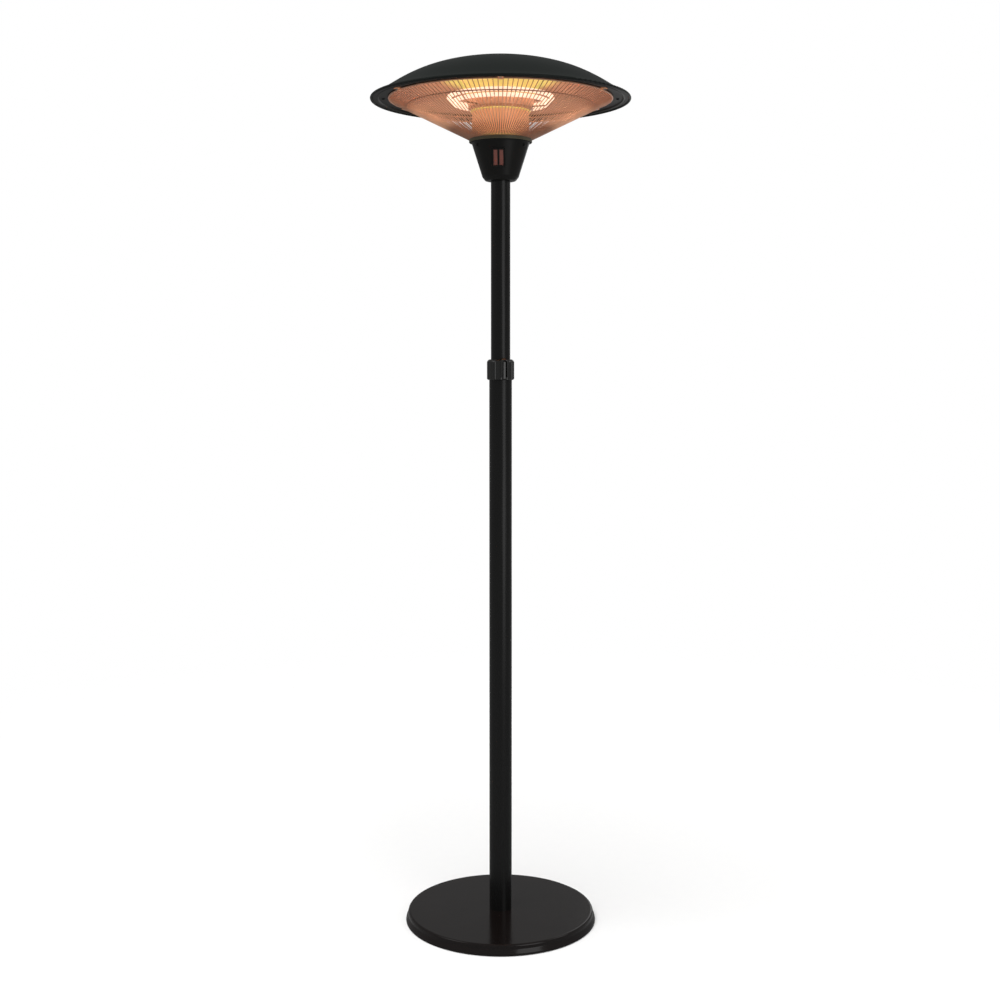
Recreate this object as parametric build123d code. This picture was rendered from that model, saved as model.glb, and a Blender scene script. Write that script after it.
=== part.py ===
from build123d import *
import os
from math import atan2, cos, degrees, hypot, radians, sin, sqrt

os.makedirs("parts", exist_ok=True)

# A free-standing electric infrared heater: a weighted round base, a telescopic mast with a
# twist lock, and a mushroom head with two ring lamps.
# Millimetres. Z is up from the floor, the mast stands on the Z axis, the switches face -Y.

# ---- base ----
base_diameter = 450.0
base_height = 25.0          # floor to the top of the cover
skirt_lift = 2.0            # floor to the skirt's edge
skirt_flare = 5.5           # the skirt's foot stands this far outside its upright
skirt_upright = 12.0        # height where the flare ends, above the skirt's edge
skirt_hem = 4.2             # height of the hem that leans in before the flare
skirt_hem_lean = 0.8
skirt_hem_radius = 1.5
skirt_root_radius = 4.0
shoulder_radius = 5.0
cover_wall = 1.5
foot_height = 3.0
foot_diameter = 26.0
foot_taper = 1.5
foot_stem_diameter = 10.0
foot_circle = 400.0
foot_count = 6
foot_first_turn = 30.0
bottom_plate_thickness = 2.0
bottom_plate_play = 0.6     # inside the skirt
ballast_diameter = 400.0
ballast_web = 13.0          # thickness under the spigot flange
ballast_ring_bore = 300.0   # the thick outer ring starts here
plate_screw_circle = 350.0
plate_screw_diameter = 5.0
plate_screw_head = 9.5
plate_screw_head_height = 1.6
plate_screw_end_gap = 3.0   # below the web's top
spigot_flange_diameter = 120.0
spigot_length = 90.0
spigot_wall = 4.0
spigot_chamfer = 2.0
spigot_bolt_circle = 90.0
spigot_bolt_diameter = 8.0
spigot_bolt_head = 15.0     # across the corners
spigot_bolt_head_height = 5.0
spigot_bolt_head_lift = 1.0 # above the bottom plate
spigot_bolt_end_gap = 0.5   # below the flange's top
bolt_recess_gap = 1.5       # round the head, in the ballast and the bottom plate
spigot_bolt_count = 4
pole_screw_height = 45.0    # above the pole's foot
pole_screw_diameter = 6.0
pole_screw_head = 10.8
pole_screw_head_height = 3.0
pole_screw_head_edge = 1.0

# ---- mast ----
lower_pole_diameter = 53.0
lower_pole_length = 1282.5
upper_pole_diameter = 45.0
upper_pole_length = 720.0
upper_pole_shown = 411.0    # between the lock collar and the head at rest
pole_wall = 1.5
slide_gap = 0.3             # radial play of all that slides in the lower pole

# ---- twist lock ----
collar_diameter = 63.6
collar_height = 48.0
collar_over_pole = 24.0     # how far the collar covers the lower pole
collar_shoulder = 8.0
collar_foot_edge = 4.4
collar_flutes = 16
flute_end = 5.0             # below the collar's top
flute_radius = 6.0
flute_depth = 1.6
collar_lip = 4.0
collar_lip_gap = 0.8
ridge_turn = 17.0           # the thumb ridge's place, right of the front
ridge_width = 21.0
ridge_bar = 5.0
ridge_proud = 2.8
ridge_drop = 6.0            # from the collar's lower edge to the ridge's feet
ridge_rise = 3.0            # the arch's crown above the collar's top
ridge_root = 2.5            # how deep the ridge is rooted in the collar's wall
ridge_crown = 5.0           # the crown's bevel
collet_spigot = 36.0
collet_flange = 3.0
collet_flange_overhang = 2.0
collet_finger_length = 17.0
finger_step = 0.5           # the fingers' root inside the pole's outer face
finger_taper = 1.8
collet_slots = 6
collet_slot_width = 2.0
collet_slot_web = 2.0       # left at the fingers' root

# ---- glide ----
glide_length = 30.0
glide_neck_radius = 17.5
glide_play = 0.3            # between the ring and its spool
glide_split = 4.0
plug_depth = 28.0
plug_flange = 6.0
plug_shoulder = 2.0
plug_bore = 12.0

# ---- housing ----
housing_height = 90.0
housing_top_diameter = 133.0
housing_bottom_diameter = 84.0
housing_chamfer = 9.0       # height of the turned-in foot of the cup
housing_foot_diameter = 70.0
housing_foot_radius = 6.0
housing_edge_radius = 8.0
housing_lip = 1.5           # the rim stands proud of the cone
housing_lip_height = 4.5
housing_lip_radius = 0.5
housing_wall = 2.0
socket_depth = 38.0
socket_wall = 3.5
set_screw_height = 8.0      # above the housing's foot
set_screw_diameter = 5.0
set_screw_proud = 0.5       # past the foot of the cone
set_screw_turns = (140.0, 220.0)
housing_screw_drop = 12.0   # below the housing's rim
housing_screw_diameter = 4.0
housing_screw_head = 7.5
housing_screw_head_height = 2.3
screw_seat = 0.3            # a head is cut to the round wall over this depth
housing_screw_turns = (-57.0, 57.0, 180.0)
gasket_thickness = 1.5
mount_plate_thickness = 2.5
mount_plate_overhang = 4.0  # past the housing's cone
tab_width = 14.0
tab_length = 20.0
tab_thickness = 4.0
tab_shoulder = 0.5          # below the housing's lip

# ---- switches ----
panel_turn = -5.0           # the pair of switches sits a little left of the front
panel_drop = 43.0           # switch centre below the housing's rim
panel_width = 30.0
panel_length = 45.0
panel_depth = 4.0
panel_proud = 0.3
switch_pitch = 13.3
bezel_width = 12.8
bezel_length = 40.6
bezel_thickness = 1.8
switch_body_width = 11.2
switch_body_length = 38.2
switch_body_depth = 20.0
well_width = 9.0
well_length = 36.0
well_depth = 9.0
rocker_side_gap = 0.3
rocker_end_gap = 0.4
rocker_tilt = 12.0
rocker_top = 6.2            # heights of the cap above its axle
rocker_dip = 4.6
rocker_skirt = 0.5          # below the axle
rocker_root = 4.5
rocker_axle_depth = 2.5     # below the panel's face
rocker_axle_diameter = 2.4
rocker_axle_play = 0.05
rocker_axle_reach = 0.8     # into each side wall
blade_width = 4.8
blade_thickness = 0.8
blade_length = 8.0
bezel_radius = 1.5

# ---- what the housing holds ----
terminal_block_size = (40.0, 16.0, 18.0)
terminal_block_y = 38.0
terminal_screw_diameter = 4.0
terminal_hole_depth = 6.0
terminal_screw_sink = 1.0
tip_switch_size = (26.0, 20.0, 24.0)
tip_switch_place = (-38.0, -8.0)
tip_switch_radius = 2.0
cutout_diameter = 16.0
cutout_height = 8.0
cutout_place = (38.0, -8.0)
wire_diameter = 2.4
wire_end_gap = 0.4          # between a lead's end and what it is fastened to
lead_bend = 5.0
riser_bend = 8.0
lead_inset = 4.0            # the switch leads leave the block behind its middle
lead_lift = 8.0             # the lamp leads leave the block above its underside
riser_places = ((6.0, -3.0), (2.5, 5.0), (-2.5, 5.0), (-6.0, -3.0))
gland_drop = 56.0           # below the housing's rim
gland_thread_diameter = 16.0
gland_thread_inside = 10.0
gland_thread_outside = 8.0  # past the flange
gland_flange = 22.0
gland_flange_thickness = 4.0
gland_seat = 0.2            # between the flange and the round wall
gland_bore = 8.0
dome_nut_diameter = 21.0
dome_nut_length = 14.0
dome_nut_radius = 4.0

# ---- drum and neck ----
drum_diameter = 133.0
drum_height = 62.0
drum_wall = 1.2
drum_flange = 3.5
drum_bead = 1.5             # section radius of the pressed bead
drum_bead_height = 12.0
lip_bead = 2.2              # section radius of the rolled lips
lip_bead_out = 0.9          # the rolls' middle outside the drum
lip_bead_lift = 1.54        # the lower roll's middle above the drum's height
neck_foot_diameter = 146.0
neck_waist_diameter = 152.0
neck_mouth_diameter = 212.0
neck_flange = 6.0
neck_foot_rise = 1.5        # from the upper roll to the neck's foot
neck_waist_share = 0.42     # share of the neck's height
neck_flare_share = 0.74
neck_flare = 9.0            # past the waist
neck_mouth_turn = 4.0
neck_foot_radius = 2.5
neck_bow_radius = 30.0
neck_mouth_radius = 8.0

# ---- tie rods ----
rod_diameter = 6.0
rod_circle = 70.0
rod_count = 3
rod_first_turn = 30.0
nut_across_flats = 10.0
nut_height = 5.0
rod_end = 4.0               # bare rod past the outer nuts
wire_hole = 20.0
bracket_height = 26.0       # hood bracket above the reflector's crown
bracket_wall = 1.5
bracket_bore = 16.0
bracket_margin = 10.0       # flat past the rods' circle
bracket_rise = 20.0         # radial run of the rising part
bracket_rim = 18.0          # radial run that follows the hood
bracket_bend = 3.0
hood_seat_gap = 0.35        # between the hood and what it rests on

# ---- hood ----
hood_diameter = 600.0
hood_height = 91.5          # the rolled lip's middle above the mounting plate's top
hood_depth = 95.0           # apex to the middle of the rolled lip
hood_wall = 1.1
hood_lip = 3.25             # section radius of the rolled lip
hood_edge_slope = -0.42
hood_shape = [
    # share of the lip's radius, share of the depth below the apex
    (0.0, 0.0),
    (0.337, 0.110),
    (0.607, 0.334),
    (0.842, 0.698),
    (0.935, 0.880),
    (1.0, 0.984),
]
reflector_wall = 0.8
reflector_drop = 49.5       # the reflector's crown below the hood's apex
reflector_inset = 38.0      # the reflector's edge inside the hood's
reflector_flat = 2.0        # flat past the neck's flange
reflector_edge_slope = -0.62
reflector_shape = [
    # share of the run past the flat, share of the drop
    (0.35, 0.17),
    (0.7, 0.56),
]
rim_ring_width = 44.0       # from the ring's bore to the hood's edge
rim_step_inset = 17.0       # the ring steps down this far inside the hood's edge
rim_step = 1.8
rim_rib = 3.0               # depth of the rib pressed along the step
rim_rib_width = 5.6
rim_rib_crown = 1.6
rim_bend = 0.8
rim_ring_wall = 1.2
rim_slope = 0.06            # rise towards the middle
rim_rise = 4.5              # the ring's inner edge above the lip's middle
rim_hem = 2.0
rim_screw_inset = 30.0      # the screws inside the hood's edge
rim_screw_diameter = 4.0
rim_screw_length = 9.0
rim_screw_head = 8.0
rim_screw_head_height = 2.2
rim_screw_head_radius = 1.2
rim_screw_count = 6
spacer_size = (9.0, 14.0)   # radial, round the rim
spacer_offset = 0.5         # the spacers' middle outside the screws' circle

# ---- guard ----
guard_wires = 144
guard_wire = 2.0
guard_ring_wire = 4.0
guard_middle_wire = 2.8
guard_middle_inset = 39.0   # the middle ring inside the rim ring's bore
guard_band = 2.3            # thickness of the base band
guard_band_height = 8.5
guard_band_drop = 6.0       # the band's lower edge below the mounting plate's top
guard_wire_rise = 1.0       # the wires' feet above the mounting plate's top
guard_weld = 0.4            # the middle ring's bite into the wires
guard_ring_inset = 1.0      # the outer ring outside the rim ring's bore
guard_ring_gap = 0.05       # below the rim ring
clip_width = 12.0
clip_wall = 1.5
clip_hook = 1.0             # the strap's end past the ring's inner face
clip_screw_offset = 6.0     # outside the guard's outer ring
clip_margin = 5.0           # past the screw's middle
clip_screw_length = 5.0
clip_screw_head_height = 1.8
clip_screw_head_radius = 0.8
clip_screw_diameter = 4.0
clip_screw_head = 7.0

# ---- lamps ----
outer_lamp_diameter = 238.0
inner_lamp_inset = 10.0     # the inner ring inside the outer one
outer_lamp_height = 95.5    # above the mounting plate's top
inner_lamp_height = 85.0
lamp_tube = 10.0
lamp_glass = 1.0
filament_diameter = 3.0
lamp_leg_gap = 22.0         # between the two legs of one lamp
lamp_elbow = 12.0
outer_lamp_turn = 160.0     # where the legs lie, round from the front
inner_lamp_turn = 200.0
holder_diameter = 16.0
holder_length = 24.0
holder_grip = 12.0          # the leg's length inside its holder
holder_inset = 8.0          # the holders' feet inside the neck's waist
support_rod = 3.0
support_turns = (-45.0, 75.0, 180.0)
support_reach = 8.0
support_back = 9.0          # from the inner lamp back to the knee
support_inset = 6.0         # the rods' feet inside the neck's waist
support_bend = 8.0
support_gap = 0.05

# ---- heights that follow from these ----
pole_foot_z = base_height - cover_wall
plate_bottom_z = foot_height
plate_top_z = plate_bottom_z + bottom_plate_thickness
web_top_z = plate_top_z + ballast_web
pole_top_z = pole_foot_z + lower_pole_length
collar_bottom_z = pole_top_z - collar_over_pole
collar_top_z = collar_bottom_z + collar_height
housing_bottom_z = collar_top_z + upper_pole_shown
housing_top_z = housing_bottom_z + housing_height
socket_top_z = housing_bottom_z + socket_depth
upper_foot_z = socket_top_z - upper_pole_length
mount_bottom_z = housing_top_z + gasket_thickness
mount_top_z = mount_bottom_z + mount_plate_thickness
drum_top_z = mount_top_z + drum_height
lip_z = drum_top_z + lip_bead_lift
neck_bead_z = lip_z + 2 * lip_bead

lower_r = lower_pole_diameter / 2
lower_bore_r = lower_r - pole_wall
upper_r = upper_pole_diameter / 2
upper_bore_r = upper_r - pole_wall
base_r = base_diameter / 2
hood_r = hood_diameter / 2
housing_r = housing_top_diameter / 2
rod_r = rod_diameter / 2
drum_r = drum_diameter / 2

# the hood's lip, and the rings that close the head from below
outer_lamp_z = mount_top_z + outer_lamp_height
inner_lamp_z = mount_top_z + inner_lamp_height
lip_centre_r = hood_r - hood_lip
lip_centre_z = mount_top_z + hood_height
hood_apex_z = lip_centre_z + hood_depth
reflector_crown_z = hood_apex_z - reflector_drop
bracket_z = reflector_crown_z + bracket_height
rim_inner_r = hood_r - rim_ring_width
rim_step_r = hood_r - rim_step_inset
rim_outer_r = lip_centre_r - hood_lip
rim_screw_r = hood_r - rim_screw_inset
outer_ring_r = outer_lamp_diameter / 2
inner_ring_r = outer_ring_r - inner_lamp_inset


# ---- helpers ----
def spin(points):
    """Solid of revolution about the mast axis from corners given as (radius, height)."""
    section = make_face(Polyline(*points, close=True))
    return revolve(Plane.XZ * section, axis=Axis.Z)


def tube(outer, inner, low, high):
    return spin([(inner, low), (outer, low), (outer, high), (inner, high)])


def bead(radius, height, section):
    """Round bead or ring of wire about the mast axis."""
    return revolve(Plane.XZ * Pos(radius, height) * Circle(section), axis=Axis.Z)


def sheet(path, wall, side=Side.LEFT):
    """Spun sheet of one wall from the line of its outer face, drawn as (radius, height)."""
    section = make_face(path.offset_2d(wall, side=side, closed=True).edges())
    return revolve(Plane.XZ * section, axis=Axis.Z)


def rod_between(start, end, diameter):
    """Straight round bar between two points."""
    run = Vector(*end) - Vector(*start)
    place = Plane(origin=start, z_dir=run.normalized()).location
    return place * Cylinder(diameter / 2, run.length, align=(Align.CENTER, Align.CENTER, Align.MIN))


def upright(diameter, low, high, x=0.0, y=0.0):
    """Upright round bar at (x, y)."""
    return rod_between((x, y, low), (x, y, high), diameter)


def around(turn):
    """Turns a piece drawn at the front to an angle round the mast, to the right as seen."""
    return Rot(0, 0, turn)


def ring_of(piece, turns):
    return [around(turn) * piece for turn in turns]


def even_turns(count, first=0.0):
    return [first + 360.0 * step / count for step in range(count)]


def group(pieces):
    """Like pieces that stay separate solids of one node."""
    return Compound([solid for piece in pieces for solid in piece.solids()])


def bent_rod(points, radii, diameter):
    """Round rod along straight runs joined by tangent arcs."""
    path = FilletPolyline(*points, radius=radii)
    start = path @ 0
    section = Plane(origin=start, z_dir=path % 0) * Circle(diameter / 2)
    return sweep(section, path=path)


# ---- base ----
def cover_path():
    flare_r = base_r - skirt_flare
    points = [
        (base_r, skirt_lift),
        (base_r - skirt_hem_lean, skirt_lift + skirt_hem),
        (flare_r, skirt_lift + skirt_upright),
        (flare_r, base_height),
        (lower_r, base_height),
    ]
    return FilletPolyline(*points, radius=[skirt_hem_radius, skirt_root_radius, shoulder_radius])


def base_cover():
    return sheet(cover_path(), cover_wall, Side.LEFT)


def bolt_recess_r():
    return spigot_bolt_head / 2 + bolt_recess_gap


def bolt_head_z():
    return plate_top_z + spigot_bolt_head_lift


def ballast_disc():
    disc = spin([
        (0, plate_top_z),
        (ballast_diameter / 2, plate_top_z),
        (ballast_diameter / 2, pole_foot_z),
        (ballast_ring_bore / 2, pole_foot_z),
        (ballast_ring_bore / 2, web_top_z),
        (0, web_top_z),
    ])
    for x, y in circle_places(spigot_bolt_circle, spigot_bolt_count):
        disc -= upright(spigot_bolt_diameter, plate_top_z, web_top_z, x, y)
        disc -= upright(2 * bolt_recess_r(), plate_top_z, bolt_head_z() + spigot_bolt_head_height, x, y)
    for x, y in circle_places(plate_screw_circle, foot_count):
        disc -= upright(plate_screw_diameter, plate_top_z, web_top_z, x, y)
    return disc


def circle_places(diameter, count, first=0.0):
    r = diameter / 2
    return [(r * cos(radians(a)), r * sin(radians(a))) for a in even_turns(count, first)]


def bottom_plate_r():
    """Inner face of the skirt at the plate's height."""
    return base_r - cover_wall - bottom_plate_play


def bottom_plate():
    plate = upright(2 * bottom_plate_r(), plate_bottom_z, plate_top_z)
    for x, y in circle_places(foot_circle, foot_count, foot_first_turn):
        plate -= upright(foot_stem_diameter, plate_bottom_z, plate_top_z, x, y)
    for x, y in circle_places(plate_screw_circle, foot_count):
        plate -= upright(plate_screw_diameter, plate_bottom_z, plate_top_z, x, y)
    for x, y in circle_places(spigot_bolt_circle, spigot_bolt_count):
        plate -= upright(2 * bolt_recess_r(), plate_bottom_z, plate_top_z, x, y)
    return plate


def plate_screws():
    low = plate_bottom_z - plate_screw_head_height
    screws = []
    for x, y in circle_places(plate_screw_circle, foot_count):
        shank = upright(plate_screw_diameter, plate_bottom_z, web_top_z - plate_screw_end_gap, x, y)
        cap = upright(plate_screw_head, low, plate_bottom_z, x, y)
        screws.append(shank + cap)
    return group(screws)


def rubber_feet():
    feet = []
    for x, y in circle_places(foot_circle, foot_count, foot_first_turn):
        pad = Pos(x, y, 0) * Cone(
            foot_diameter / 2 - foot_taper, foot_diameter / 2, foot_height,
            align=(Align.CENTER, Align.CENTER, Align.MIN))
        feet.append(pad + upright(foot_stem_diameter, foot_height, plate_top_z, x, y))
    return group(feet)


def pole_spigot():
    stub_bore = lower_bore_r - spigot_wall
    body = spin([
        (stub_bore, web_top_z),
        (spigot_flange_diameter / 2, web_top_z),
        (spigot_flange_diameter / 2, pole_foot_z),
        (lower_bore_r, pole_foot_z),
        (lower_bore_r, pole_foot_z + spigot_length - spigot_chamfer),
        (lower_bore_r - spigot_chamfer, pole_foot_z + spigot_length),
        (stub_bore, pole_foot_z + spigot_length),
    ])
    for x, y in circle_places(spigot_bolt_circle, spigot_bolt_count):
        body -= upright(spigot_bolt_diameter, web_top_z, pole_foot_z, x, y)
    return body - pole_screw_shank()


def spigot_bolts():
    head_low = bolt_head_z()
    bolts = []
    for x, y in circle_places(spigot_bolt_circle, spigot_bolt_count):
        head = Pos(x, y, head_low) * extrude(
            RegularPolygon(spigot_bolt_head / 2, 6), amount=spigot_bolt_head_height)
        shank = upright(spigot_bolt_diameter, head_low, pole_foot_z - spigot_bolt_end_gap, x, y)
        bolts.append(head + shank)
    return group(bolts)


def pole_screw_shank():
    z = pole_foot_z + pole_screw_height
    inner = lower_bore_r - spigot_wall
    return rod_between((0, inner, z), (0, lower_r, z), pole_screw_diameter)


def pole_screw():
    z = pole_foot_z + pole_screw_height
    face = lower_r - screw_seat
    head = rod_between((0, face, z), (0, face + pole_screw_head_height, z), pole_screw_head)
    head -= lower_pole_blank()
    rim = head.edges().sort_by(Axis.Y)[-1:]
    return fillet(rim, pole_screw_head_edge) + pole_screw_shank()


def lower_pole_blank():
    return tube(lower_r, lower_bore_r, pole_foot_z, pole_top_z)


def lower_pole():
    return lower_pole_blank() - pole_screw_shank()


# ---- twist lock ----
collet_bore_r = upper_r + slide_gap
collet_flange_r = lower_r + collet_flange_overhang
finger_foot_z = pole_top_z + collet_flange
finger_top_z = finger_foot_z + collet_finger_length
finger_foot_r = lower_r - finger_step
finger_top_r = finger_foot_r - finger_taper


def collet():
    body = spin([
        (collet_bore_r, pole_top_z - collet_spigot),
        (lower_bore_r, pole_top_z - collet_spigot),
        (lower_bore_r, pole_top_z),
        (collet_flange_r, pole_top_z),
        (collet_flange_r, finger_foot_z),
        (finger_foot_r, finger_foot_z),
        (finger_top_r, finger_top_z),
        (collet_bore_r, finger_top_z),
    ])
    slot_height = collet_finger_length - collet_slot_web
    for turn in even_turns(collet_slots):
        slot = Pos(0, -lower_r, finger_top_z) * Box(
            collet_slot_width, lower_r, slot_height,
            align=(Align.CENTER, Align.CENTER, Align.MAX))
        body -= around(turn) * slot
    return body


def collar_blank():
    r = collar_diameter / 2
    top_bore = upper_r + collar_lip_gap
    points = [
        (lower_r + slide_gap, collar_bottom_z),
        (r, collar_bottom_z),
        (r, collar_top_z),
        (top_bore, collar_top_z),
    ]
    outside = FilletPolyline(*points, radius=[collar_foot_edge, collar_shoulder])
    bore = [
        (top_bore, collar_top_z),
        (top_bore, collar_top_z - collar_lip),
        (finger_top_r + slide_gap, collar_top_z - collar_lip),
        (finger_foot_r + slide_gap, finger_foot_z + slide_gap),
        (collet_flange_r + slide_gap, finger_foot_z + slide_gap),
        (collet_flange_r + slide_gap, pole_top_z - slide_gap),
        (lower_r + slide_gap, pole_top_z - slide_gap),
        (lower_r + slide_gap, collar_bottom_z),
    ]
    section = make_face(outside.edges() + Polyline(*bore).edges())
    return revolve(Plane.XZ * section, axis=Axis.Z)


def thumb_ridge():
    """Arch-shaped ridge that stands on the collar for the thumb."""
    low = collar_bottom_z + ridge_drop
    height = collar_height - ridge_drop + ridge_rise
    r = collar_diameter / 2
    arch_r = ridge_width / 2
    outer = Pos(0, height / 2) * SlotOverall(height + ridge_width, ridge_width, rotation=90)
    inner = Pos(0, height / 2 - ridge_bar) * SlotOverall(
        height + ridge_width, ridge_width - 2 * ridge_bar, rotation=90)
    outer = Pos(0, -arch_r) * outer
    inner = Pos(0, -arch_r) * inner
    frame = Pos(0, height / 2) * Rectangle(ridge_width, height)
    arch = (outer & frame) - inner
    face = Plane(origin=(0, 0, low), x_dir=(1, 0, 0), z_dir=(0, -1, 0))
    bar = extrude(face * arch, amount=r + ridge_proud)
    shell_top = collar_top_z + ridge_rise
    crown_r = upper_r + collar_lip_gap + ridge_root
    root_z = collar_top_z - ridge_root
    shell = spin([
        (r - ridge_root, low),
        (r + ridge_proud, low),
        (r + ridge_proud, shell_top - ridge_crown),
        (r + ridge_proud - ridge_crown, shell_top),
        (crown_r, shell_top),
        (crown_r, root_z),
        (r - collar_shoulder, root_z),
        (r - ridge_root, collar_top_z - collar_shoulder),
    ])
    return around(ridge_turn) * (bar & shell)


def lock_collar():
    body = collar_blank()
    flute_r = collar_diameter / 2 + flute_radius - flute_depth
    flutes = [
        around(turn) * upright(2 * flute_radius, collar_bottom_z, collar_top_z - flute_end, 0, -flute_r)
        for turn in even_turns(collar_flutes, ridge_turn + 180.0 / collar_flutes)
    ]
    body = body - flutes
    return body + thumb_ridge()


# ---- telescopic part ----
plug_shoulder_z = upper_foot_z - plug_shoulder
plug_neck_low_z = plug_shoulder_z - glide_length - 2 * glide_play


def end_plug():
    return spin([
        (plug_bore, plug_neck_low_z - plug_flange),
        (upper_r, plug_neck_low_z - plug_flange),
        (upper_r, plug_neck_low_z),
        (glide_neck_radius, plug_neck_low_z),
        (glide_neck_radius, plug_shoulder_z),
        (upper_r, plug_shoulder_z),
        (upper_r, upper_foot_z),
        (upper_bore_r, upper_foot_z),
        (upper_bore_r, upper_foot_z + plug_depth),
        (plug_bore, upper_foot_z + plug_depth),
    ])


def glide_ring():
    low = plug_neck_low_z + glide_play
    ring = tube(lower_bore_r - slide_gap, glide_neck_radius + glide_play, low, low + glide_length)
    split = Pos(0, lower_r / 2, low) * Box(
        glide_split, lower_r, glide_length, align=(Align.CENTER, Align.CENTER, Align.MIN))
    return ring - split


def upper_pole():
    return tube(upper_r, upper_bore_r, upper_foot_z, socket_top_z)


# ---- housing ----
cone_foot_z = housing_bottom_z + housing_chamfer
cone_foot_r = housing_bottom_diameter / 2
lip_foot_z = housing_top_z - housing_lip_height
cone_slope = (housing_r - cone_foot_r) / (lip_foot_z - cone_foot_z)
cone_tilt = degrees(atan2(cone_slope, 1.0))


def cone_r(z, inset=0.0):
    """Radius of the housing's cone at a height, moved inwards by the inset."""
    return cone_foot_r + (z - cone_foot_z) * cone_slope - inset / cos(radians(cone_tilt))


def housing_place(turn, drop, proud=0.0):
    """Place on the cone, with local Z straight out of the wall and local Y up the slope."""
    z = housing_top_z - drop
    tilt = radians(cone_tilt)
    out = Vector(0, -cos(tilt), -sin(tilt))
    origin = Vector(0, -cone_r(z), z) + out * proud
    return around(turn) * Plane(origin=origin, x_dir=(1, 0, 0), z_dir=out).location


def housing():
    outer = [
        (upper_r, housing_bottom_z),
        (housing_foot_diameter / 2, housing_bottom_z),
        (cone_foot_r, cone_foot_z),
        (housing_r, lip_foot_z),
        (housing_r + housing_lip, lip_foot_z + housing_lip),
        (housing_r + housing_lip, housing_top_z),
    ]
    bends = [housing_foot_radius, housing_edge_radius, housing_lip_radius, housing_lip_radius]
    path = FilletPolyline(*outer, radius=bends)
    cup = sheet(path, housing_wall)
    cup += tube(upper_r + socket_wall, upper_r, housing_bottom_z + housing_wall / 2, socket_top_z)
    pad = housing_place(panel_turn, panel_drop) * Pos(0, 0, -panel_depth) * Box(
        panel_width, panel_length, panel_depth + panel_proud,
        align=(Align.CENTER, Align.CENTER, Align.MIN))
    cup += pad
    for side in (-1, 1):
        cup -= switch_place(side) * Box(switch_body_width, switch_body_length, 6 * panel_depth)
    cup -= housing_screw_shanks()
    cup -= gland_thread()
    for turn in set_screw_turns:
        cup -= set_screw_shank(turn)
    return cup


def set_screw_shank(turn):
    z = housing_bottom_z + set_screw_height
    return around(turn) * rod_between(
        (0, -upper_r, z), (0, -cone_foot_r - set_screw_proud, z), set_screw_diameter)


def set_screws():
    return group([set_screw_shank(turn) for turn in set_screw_turns])


def housing_gasket():
    outer = housing_r + housing_lip
    return tube(outer, outer - housing_wall, housing_top_z, mount_bottom_z)


def housing_screw_shanks():
    reach = housing_wall + tab_thickness
    return [
        housing_place(turn, housing_screw_drop, -reach) * Cylinder(
            housing_screw_diameter / 2, reach, align=(Align.CENTER, Align.CENTER, Align.MIN))
        for turn in housing_screw_turns
    ]


def housing_screws():
    screws = []
    for turn, shank in zip(housing_screw_turns, housing_screw_shanks()):
        head = housing_place(turn, housing_screw_drop, -screw_seat) * Cylinder(
            housing_screw_head / 2, housing_screw_head_height + screw_seat,
            align=(Align.CENTER, Align.CENTER, Align.MIN))
        head -= spin([
            (0, cone_foot_z), (cone_foot_r, cone_foot_z), (housing_r, lip_foot_z), (0, lip_foot_z)])
        screws.append(head + shank)
    return group(screws)


# ---- mounting plate ----
mount_plate_r = housing_r + mount_plate_overhang


def mounting_plate():
    plate = upright(2 * mount_plate_r, mount_bottom_z, mount_top_z)
    plate -= upright(wire_hole, mount_bottom_z, mount_top_z)
    top_z = lip_foot_z - tab_shoulder
    low_z = mount_bottom_z - tab_length
    inset = housing_wall
    hug = spin([
        (cone_r(top_z, inset), mount_bottom_z),
        (cone_r(top_z, inset), top_z),
        (cone_r(low_z, inset), low_z),
        (cone_r(low_z, inset) - tab_thickness, low_z),
        (cone_r(top_z, inset) - tab_thickness, top_z),
        (cone_r(top_z, inset) - tab_thickness, mount_bottom_z),
    ])
    wedge = Pos(0, -housing_r, mount_bottom_z) * Box(
        tab_width, housing_r, tab_length, align=(Align.CENTER, Align.CENTER, Align.MAX))
    for turn in housing_screw_turns:
        plate += hug & (around(turn) * wedge)
    plate -= housing_screw_shanks()
    for place in rod_places():
        plate -= tie_rod(place)
    return plate


# ---- tie rods ----
def rod_places():
    return circle_places(rod_circle, rod_count, rod_first_turn)


def tie_rod(place):
    low = mount_bottom_z - nut_height - rod_end
    high = bracket_z + bracket_wall + nut_height + rod_end
    return upright(rod_diameter, low, high, *place)


def tie_rods():
    return group([tie_rod(place) for place in rod_places()])


def nut_levels():
    """Underside of each nut on a rod: below and above each plate that it clamps."""
    return [
        mount_bottom_z - nut_height,
        mount_top_z,
        reflector_crown_z - nut_height,
        reflector_crown_z + reflector_wall,
        bracket_z - nut_height,
        bracket_z + bracket_wall,
    ]


def hex_nut(low, bore):
    blank = extrude(RegularPolygon(nut_across_flats / 2, 6, major_radius=False), amount=nut_height)
    return Pos(0, 0, low) * (blank - upright(bore, 0, nut_height))


def tie_rod_nuts():
    nuts = []
    for x, y in rod_places():
        for low in nut_levels():
            nuts.append(Pos(x, y, 0) * hex_nut(low, rod_diameter))
    return group(nuts)


# ---- switches ----
def switch_place(side):
    """Place of one switch, on the panel's face."""
    panel = housing_place(panel_turn, panel_drop, panel_proud)
    return panel * Pos(side * switch_pitch / 2, 0, 0)


def rocker_axle(reach, diameter):
    length = well_width + 2 * reach
    return Pos(0, 0, -rocker_axle_depth) * Rot(0, 90, 0) * Cylinder(diameter / 2, length)


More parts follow.
